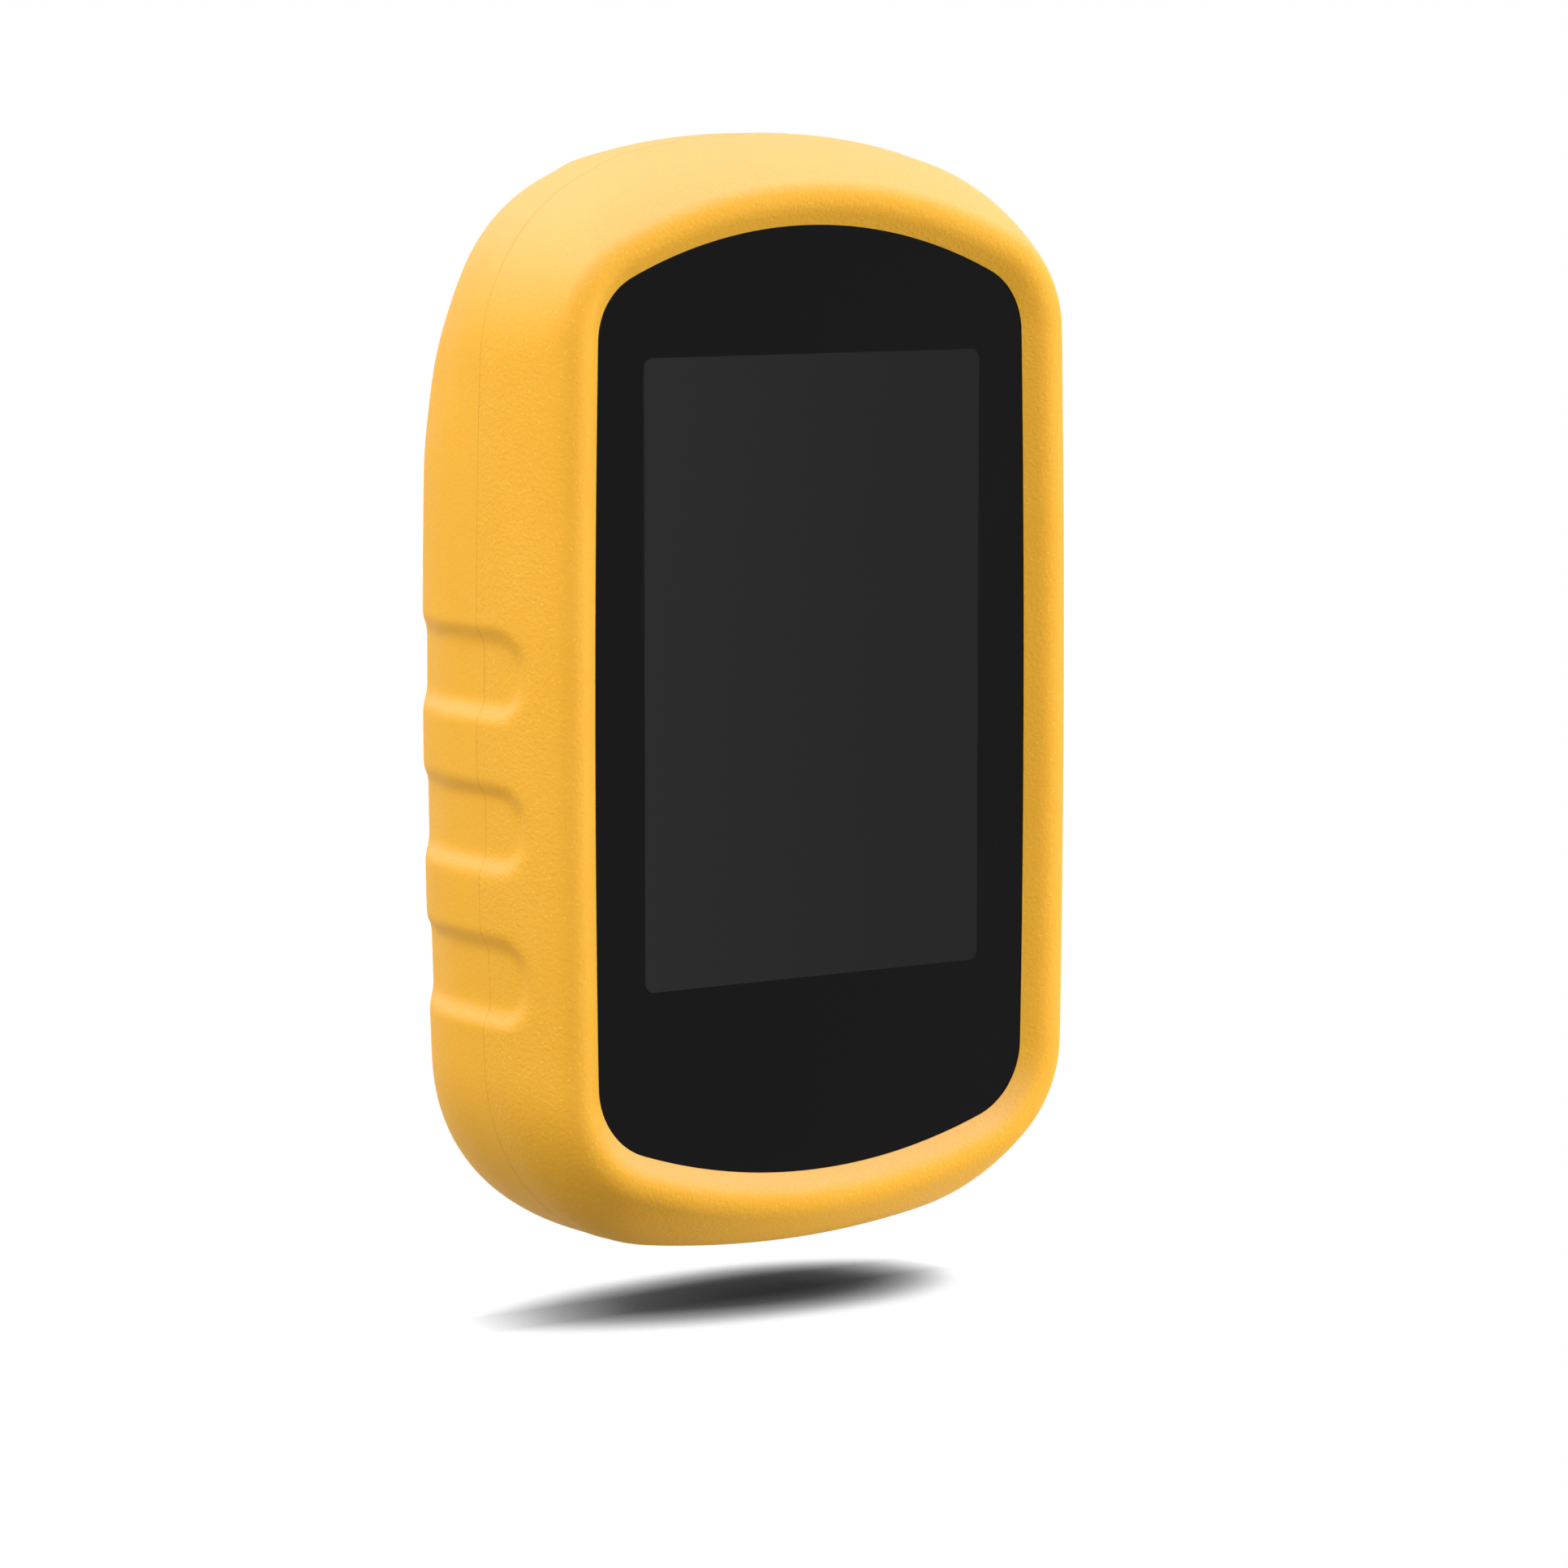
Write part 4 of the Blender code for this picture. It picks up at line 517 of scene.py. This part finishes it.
# forms in mm; outlines in the XZ plane are built from tangent arcs:
# bottom, low corner, side, high corner, top
sleeveForm = {
    "widest": {
        "half": 31.5, "bottom": 0, "top": 104.1, "widestZ": 52.05,
        "side": 830, "topArc": 61.3, "lowArc": 108, "topCorner": 19.2, "lowCorner": 18.5,
    },
    "aperture": {
        "half": 24.3, "bottom": 7.8, "top": 95.9, "widestZ": 46.0,
        "side": 1700, "topArc": 47.5, "lowArc": 58.6, "topCorner": 6.3, "lowCorner": 7.2,
    },
    "rearFlat": {
        "half": 14.5, "bottom": 5.0, "top": 85.1, "widestZ": 52.05,
        "side": 830, "topArc": 50.0, "lowArc": 108, "topCorner": 14.0, "lowCorner": 8.0,
    },
    "arcSteps": (8, 16, 86, 16, 20),
    "crestY": -16.5,
    "edgeY": -14.95,
    "innerY": -15.2,
    "overGlass": 0.8,
    "overEdge": 0.2,
    "lipWidth": 2.7,
    "lipRound": 2.3,
    "slopeShares": (0.06, 0.30, 0.60, 0.88),
    "lipTurns": (-40, -28, -16, -4, 8, 20, 32, 44, 55),
    "flankTurns": (58, 62, 66, 70, 74, 78, 82, 85, 88),
    "sideLevels": (-7.9, -7.65, -7.0, -6.5, -6.26, -6.13, -6.0, -5.87, -5.74, -5.4, -4.7, -3.9, -3.1),
    "backSteps": 20,
    "backFine": (12, 80),
    "backEnd": (0.985, 1),
    "backReach": 1.9,
    "backHalvings": 40,
    "innerShares": (1, 0.97, 0.75, 0.50, 0.25, 0),
    "innerTurns": (90, 77, 64, 51),
    "flankY": -8.02,
    "flankRound": 13.08,
    "widestBackY": -2.4,
    "backY": 16.5,
    "wall": 1.6,
    "partingY": -6.0,
    "partingRise": 0.06,
    "partingReach": 0.01,
}
openingForm = {"half": 20.1, "bottom": 5.6, "top": 95.9, "corner": 5.7, "middle": Vector((0, 50.0))}
keyWindow = {
    "y": -3.0,
    "z": 76.1,
    "halfY": 3.3,
    "halfZ": 7.4,
    "corner": 2.4,
    "innerMargin": 1.0,
    "tunnel": (0.25, 1.1, 0.25),
    "beyondX": 20,
    "reach": 4.0,
    "halvings": 30,
    "passes": 3,
}
shoulderForm = {
    "trim": 1.05,
    "rise": (73.0, 88.5),
    "fall": (88.5, 102.0),
    "back": (-6.0, 3.5),
    "rim": (0.5, 7.0),
}
grooveForm = {
    "heights": (27.3, 41.4, 55.5),
    "half": 3.7,
    "corner": 3.2,
    "depth": 0.85,
    "frontY": -12.3,
    "backY": 17.0,
    "slopeAbove": (0.35, -0.65),
    "slopeBelow": (0.6, -1.0),
    "slopeBlend": (-1.5, 1.5),
    "fade": (4.5, 13.5),
    "sideways": 0.25,
}
padForm = {
    "halfX": 17.5,
    "halfY": 5.0,
    "y": -2.8,
    "corner": 2.0,
    "rise": 0.3,
    "slope": (0.2, -0.2),
    "upward": 0.4,
}


def circlesMeet(first, firstRadius, second, secondRadius, upper):
    apart = second - first
    along = (firstRadius**2 - secondRadius**2 + apart.length_squared) / (2 * apart.length)
    aside = math.sqrt(max(firstRadius**2 - along**2, 0))
    ahead = apart.normalized()
    across = Vector((-ahead.y, ahead.x)) * aside
    found = (first + ahead * along + across, first + ahead * along - across)
    return max(found, key=lambda spot: spot.x + (spot.y if upper else -spot.y))


def outline(form, inset=0.0):
    low = Vector((0, form["bottom"] + form["lowArc"]))
    high = Vector((0, form["top"] - form["topArc"]))
    side = Vector((form["half"] - form["side"], form["widestZ"]))
    lowSpan, highSpan = form["lowCorner"], form["topCorner"]
    lowCorner = circlesMeet(low, form["lowArc"] - lowSpan, side, form["side"] - lowSpan, False)
    highCorner = circlesMeet(high, form["topArc"] - highSpan, side, form["side"] - highSpan, True)
    joints = ((low, lowCorner), (side, lowCorner), (side, highCorner), (high, highCorner))
    ends = [-math.pi / 2] + [math.atan2(*(b - a).yx) for a, b in joints] + [math.pi / 2]
    centres = (low, lowCorner, side, highCorner, high)
    radii = (form["lowArc"], lowSpan, form["side"], highSpan, form["topArc"])
    right = []
    for k, steps in enumerate(sleeveForm["arcSteps"]):
        for i in range(steps):
            turn = ends[k] + (ends[k + 1] - ends[k]) * i / steps
            right.append(centres[k] + (radii[k] - inset) * Vector((math.cos(turn), math.sin(turn))))
    left = [Vector((-spot.x, spot.y)) for spot in reversed(right[1:])]
    return right + [Vector((0, form["top"] - inset))] + left


def boxDistance(u, v, halfU, halfV, corner):
    du = abs(u) - halfU + corner
    dv = abs(v) - halfV + corner
    return math.hypot(max(du, 0), max(dv, 0)) + min(max(du, dv), 0) - corner


def fade(value, start, end):
    share = min(max((value - start) / (end - start), 0), 1)
    return share * share * (3 - 2 * share)


def ringAt(spots, y):
    return [Vector((spot.x, y, spot.y)) for spot in spots]


def ringBetween(first, second, share, y):
    return ringAt([a.lerp(b, share) for a, b in zip(first, second)], y)


def openingDistance(spot):
    middle = (openingForm["bottom"] + openingForm["top"]) / 2
    half = (openingForm["top"] - openingForm["bottom"]) / 2
    return boxDistance(spot.x, spot.y - middle, openingForm["half"], half, openingForm["corner"])


# one path over the rounded back for each outline point, from the widest section to the back opening
def backPaths(inset):
    wide = outline(sleeveForm["widest"], inset)
    flat = outline(sleeveForm["rearFlat"], inset)
    startY, endY = sleeveForm["widestBackY"], sleeveForm["backY"] - inset

    def spotAt(i, reach):
        if reach > 1:
            return flat[i].lerp(openingForm["middle"], reach - 1), endY
        turn = reach * math.pi / 2
        return wide[i].lerp(flat[i], 1 - math.cos(turn)), startY + (endY - startY) * math.sin(turn)

    reaches = []
    for i in range(len(wide)):
        near, far = 0.0, sleeveForm["backReach"]
        for _ in range(sleeveForm["backHalvings"]):
            middle = (near + far) / 2
            outside = openingDistance(spotAt(i, middle)[0]) > 0
            near, far = (middle, far) if outside else (near, middle)
        reaches.append(near)

    def ring(share):
        spots = [spotAt(i, reach * share) for i, reach in enumerate(reaches)]
        return [Vector((spot.x, y, spot.y)) for spot, y in spots]

    return ring


# sections of the lip's bead and of the flank behind it, by how far their face has turned from the front
def lipSpot(angle):
    turn = math.radians(angle)
    grow = sleeveForm["lipWidth"] + sleeveForm["lipRound"] * math.sin(turn)
    return grow, sleeveForm["crestY"] + sleeveForm["lipRound"] * (1 - math.cos(turn))


def flankRing(angle, inset):
    turn = math.radians(angle)
    last = sleeveForm["lipTurns"][-1]
    first = math.sin(math.radians(last))
    share = (math.sin(turn) - first) / (1 - first)
    start = outline(sleeveForm["aperture"], inset * first - lipSpot(last)[0])
    y = sleeveForm["flankY"] - (sleeveForm["flankRound"] - inset) * math.cos(turn)
    return ringBetween(start, outline(sleeveForm["widest"], inset), share, y)


def sleeveRings():
    form = sleeveForm
    edgeY, wall = form["edgeY"], form["wall"]
    aperture = outline(form["aperture"])
    wide = outline(form["widest"])
    # the slope beside the glass, the bead of the lip, the flank, the plain side and the round back
    slopeEnd, slopeY = lipSpot(form["lipTurns"][0])
    outer = [ringAt(aperture, edgeY)]
    for share in form["slopeShares"]:
        outer.append(ringAt(outline(form["aperture"], -slopeEnd * share), edgeY + (slopeY - edgeY) * share))
    for angle in form["lipTurns"]:
        grow, y = lipSpot(angle)
        outer.append(ringAt(outline(form["aperture"], -grow), y))
    outer += [flankRing(angle, 0) for angle in form["flankTurns"]]
    outer += [ringAt(wide, y) for y in form["sideLevels"]]
    # the back's rings lie closer where the pad and the key's window end
    steps, (fineSteps, fineParts) = form["backSteps"], form["backFine"]
    shares = [i / fineParts for i in range(fineSteps)]
    shares += [i / steps for i in range(steps) if i / steps >= fineSteps / fineParts]
    backRing = backPaths(0)
    outer += [backRing(share) for share in (*shares, *form["backEnd"])]
    # back along the inner wall, to the edge that lies over the glass
    innerRing = backPaths(wall)
    inner = [innerRing(share) for share in form["innerShares"]]
    inner += [flankRing(angle, wall) for angle in form["innerTurns"]]
    inner.append(ringAt(outline(form["aperture"], -form["overGlass"]), form["innerY"]))
    inner.append(ringAt(outline(form["aperture"], -form["overEdge"]), edgeY))
    return outer, inner


def addLoop(shape, ring):
    corners = [shape.verts.new(spot) for spot in ring]
    edges = [shape.edges.new((a, b)) for a, b in zip(corners, corners[1:] + corners[:1])]
    return corners, edges


def windowDistance(u, v):
    return boxDistance(u, v, keyWindow["halfY"], keyWindow["halfZ"], keyWindow["corner"])


def windowSpot(u, v):
    # where the ray from the window's middle through u, v meets its outline
    near, far = 0.0, keyWindow["reach"]
    for _ in range(keyWindow["halvings"]):
        middle = (near + far) / 2
        near, far = (middle, far) if windowDistance(u * middle, v * middle) < 0 else (near, middle)
    return keyWindow["y"] + u * near, keyWindow["z"] + v * near


def openKeyWindow(shape, outerSet):
    # faces inside the window go from both walls, the outer edge is drawn onto the outline,
    # and a tunnel as deep as the wall joins it to the wider hole in the inner wall
    rims = []
    for onOuter, margin in ((True, 0), (False, keyWindow["innerMargin"])):
        inside = []
        for face in shape.faces:
            spot = face.calc_center_median()
            away = windowDistance(spot.y - keyWindow["y"], spot.z - keyWindow["z"])
            onWall = all((corner in outerSet) == onOuter for corner in face.verts)
            if onWall and away < margin and spot.x > keyWindow["beyondX"]:
                inside.append(face)
        touched = {edge for face in inside for edge in face.edges}
        borders = [edge for edge in shape.edges if edge in touched]
        rims.append([edge for edge in borders if sum(face in inside for face in edge.link_faces) == 1])
        bmesh.ops.delete(shape, geom=inside, context="FACES")
    rim, innerRim = rims
    nextTo = {}
    for edge in rim:
        for corner in edge.verts:
            nextTo.setdefault(corner, []).append(edge.other_vert(corner))
    for _ in range(keyWindow["passes"]):
        middles = [(corner, (a.co + b.co + corner.co * 2) / 4) for corner, (a, b) in nextTo.items()]
        for corner, spot in middles:
            y, z = windowSpot(spot.y - keyWindow["y"], spot.z - keyWindow["z"])
            corner.co = (spot.x, y, z)
    loop = list(rim[0].verts)
    while len(loop) < len(rim):
        loop.append(next(near for near in nextTo[loop[-1]] if near != loop[-2]))
    for depth in keyWindow["tunnel"]:
        deeper = [shape.verts.new(corner.co - Vector((depth, 0, 0))) for corner in loop]
        for k in range(len(loop)):
            shape.faces.new((loop[k - 1], loop[k], deeper[k], deeper[k - 1]))
        loop = deeper
    rim = [shape.edges.get(pair) for pair in zip(loop, loop[1:] + loop[:1])]
    bmesh.ops.bridge_loops(shape, edges=rim + innerRim)


def grooveDepth(y, z):
    middle = (grooveForm["frontY"] + grooveForm["backY"]) / 2
    half = (grooveForm["backY"] - grooveForm["frontY"]) / 2
    level = min(grooveForm["heights"], key=lambda height: abs(z - height))
    away = boxDistance(y - middle, z - level, half, grooveForm["half"], grooveForm["corner"])
    upper = fade(z - level, *grooveForm["slopeBlend"])
    slopes = zip(grooveForm["slopeBelow"], grooveForm["slopeAbove"])
    slope = [below + (above - below) * upper for below, above in slopes]
    return grooveForm["depth"] * (1 - fade(y, *grooveForm["fade"])) * fade(away, *slope)


def shoulderDepth(x, y, z):
    # behind the widest section the shoulders fall off sooner, but not at the back opening's rim
    share = fade(z, *shoulderForm["rise"]) * (1 - fade(z, *shoulderForm["fall"]))
    share *= fade(openingDistance(Vector((x, z))), *shoulderForm["rim"])
    return shoulderForm["trim"] * share * fade(y, *shoulderForm["back"])


def padRise(x, y):
    away = boxDistance(x, y - padForm["y"], padForm["halfX"], padForm["halfY"], padForm["corner"])
    return padForm["rise"] * fade(away, *padForm["slope"])


def mouldSleeve(outerLoops):
    # finger grooves, shoulders, top pad and the parting line, pressed into the outer wall
    moves = []
    for corner in [corner for loop in outerLoops for corner in loop]:
        x, y, z = corner.co
        onParting = abs(y - sleeveForm["partingY"]) < sleeveForm["partingReach"]
        rise = 0 if onParting else -sleeveForm["partingRise"]
        if abs(corner.normal.x) > grooveForm["sideways"]:
            rise -= grooveDepth(y, z) + shoulderDepth(x, y, z)
        if corner.normal.z > padForm["upward"]:
            rise += padRise(x, y)
        moves.append((corner, corner.normal * rise))
    for corner, move in moves:
        corner.co += move


sleeve = bmesh.new()
outerRings, innerRings = sleeveRings()
loops = [addLoop(sleeve, ring) for ring in outerRings + innerRings]
for (_, edgesA), (_, edgesB) in zip(loops, loops[1:] + loops[:1]):
    bmesh.ops.bridge_loops(sleeve, edges=edgesA + edgesB)
bmesh.ops.recalc_face_normals(sleeve, faces=sleeve.faces)
sleeve.normal_update()
outerLoops = [corners for corners, _ in loops[: len(outerRings)]]
mouldSleeve(outerLoops)
openKeyWindow(sleeve, {corner for corners in outerLoops for corner in corners})
bmesh.ops.recalc_face_normals(sleeve, faces=sleeve.faces)
for face in sleeve.faces:
    face.smooth = True
bmesh.ops.scale(sleeve, vec=(mm, mm, mm), verts=sleeve.verts)
sleevePiece = addPiece("sleeve", sleeve, "yellow_silicone", "unit", "silicone_sleeve")
rounding = sleevePiece.modifiers.new("rounding", "SUBSURF")
rounding.levels = rounding.render_levels = 1
print("sleeve made,", len(sleevePiece.data.polygons), "faces before rounding")


# cover glass, with the outline of the lip's aperture and a fine ground edge
glassForm = {"grow": 0.6, "frontY": -14.9, "thickness": 1.0, "edge": 0.12, "edgeSteps": 2}

glass = bmesh.new()
glassOutline = outline(sleeveForm["aperture"], -glassForm["grow"])
_, glassEdges = addLoop(glass, ringAt(glassOutline, glassForm["frontY"]))
bmesh.ops.contextual_create(glass, geom=glassEdges)
grown = bmesh.ops.extrude_face_region(glass, geom=glass.faces[:])
behind = [part for part in grown["geom"] if isinstance(part, bmesh.types.BMVert)]
bmesh.ops.translate(glass, vec=(0, glassForm["thickness"], 0), verts=behind)
bmesh.ops.recalc_face_normals(glass, faces=glass.faces)
rimEdges = [edge for edge in glass.edges if max(len(face.verts) for face in edge.link_faces) > 4]
bmesh.ops.bevel(
    glass,
    geom=rimEdges,
    offset=glassForm["edge"],
    affect="EDGES",
    segments=glassForm["edgeSteps"],
    profile=0.5,
    material=-1,
)
bmesh.ops.scale(glass, vec=(mm, mm, mm), verts=glass.verts)
addPiece("cover_glass", glass, "dark_glass", "unit", "touch_glass")
print("glass made")


# pieces with their moulded or ground edges broken: body, width in mm and steps of the bevel
edgeBreaks = {
    "battery_door": ("battery_door", 0.35, 2),
    "mounting_rail": ("battery_door", 0.25, 2),
    "weather_cap": ("weather_cap", 0.25, 2),
    "power_key": ("power_key", 0.30, 3),
    "lock_barrel": ("door_lock", 0.15, 2),
    "lock_ring": ("lock_ring", 0.10, 1),
}
edgeForm = {"weld": 1e-6, "flatAngle": 0.6, "sharpAngle": 35, "shadeAngle": 32}

for name, (body, width, segments) in edgeBreaks.items():
    shape = bmesh.new()
    shape.from_mesh(nodes[name].data)
    bmesh.ops.remove_doubles(shape, verts=shape.verts, dist=edgeForm["weld"])
    flat = math.radians(edgeForm["flatAngle"])
    bmesh.ops.dissolve_limit(shape, angle_limit=flat, verts=shape.verts, edges=shape.edges)
    walls = [edge for edge in shape.edges if len(edge.link_faces) == 2]
    sharp = [edge for edge in walls if edge.calc_face_angle() > math.radians(edgeForm["sharpAngle"])]
    bmesh.ops.bevel(
        shape,
        geom=sharp,
        offset=width * mm,
        affect="EDGES",
        segments=segments,
        profile=0.5,
        material=-1,
        clamp_overlap=True,
    )
    for face in shape.faces:
        face.smooth = True
    made = addPiece(name + "_finished", shape, slotOf[name], body, name)
    made.data.set_sharp_from_angle(angle=math.radians(edgeForm["shadeAngle"]))
print("edges broken,", len(edgeBreaks))
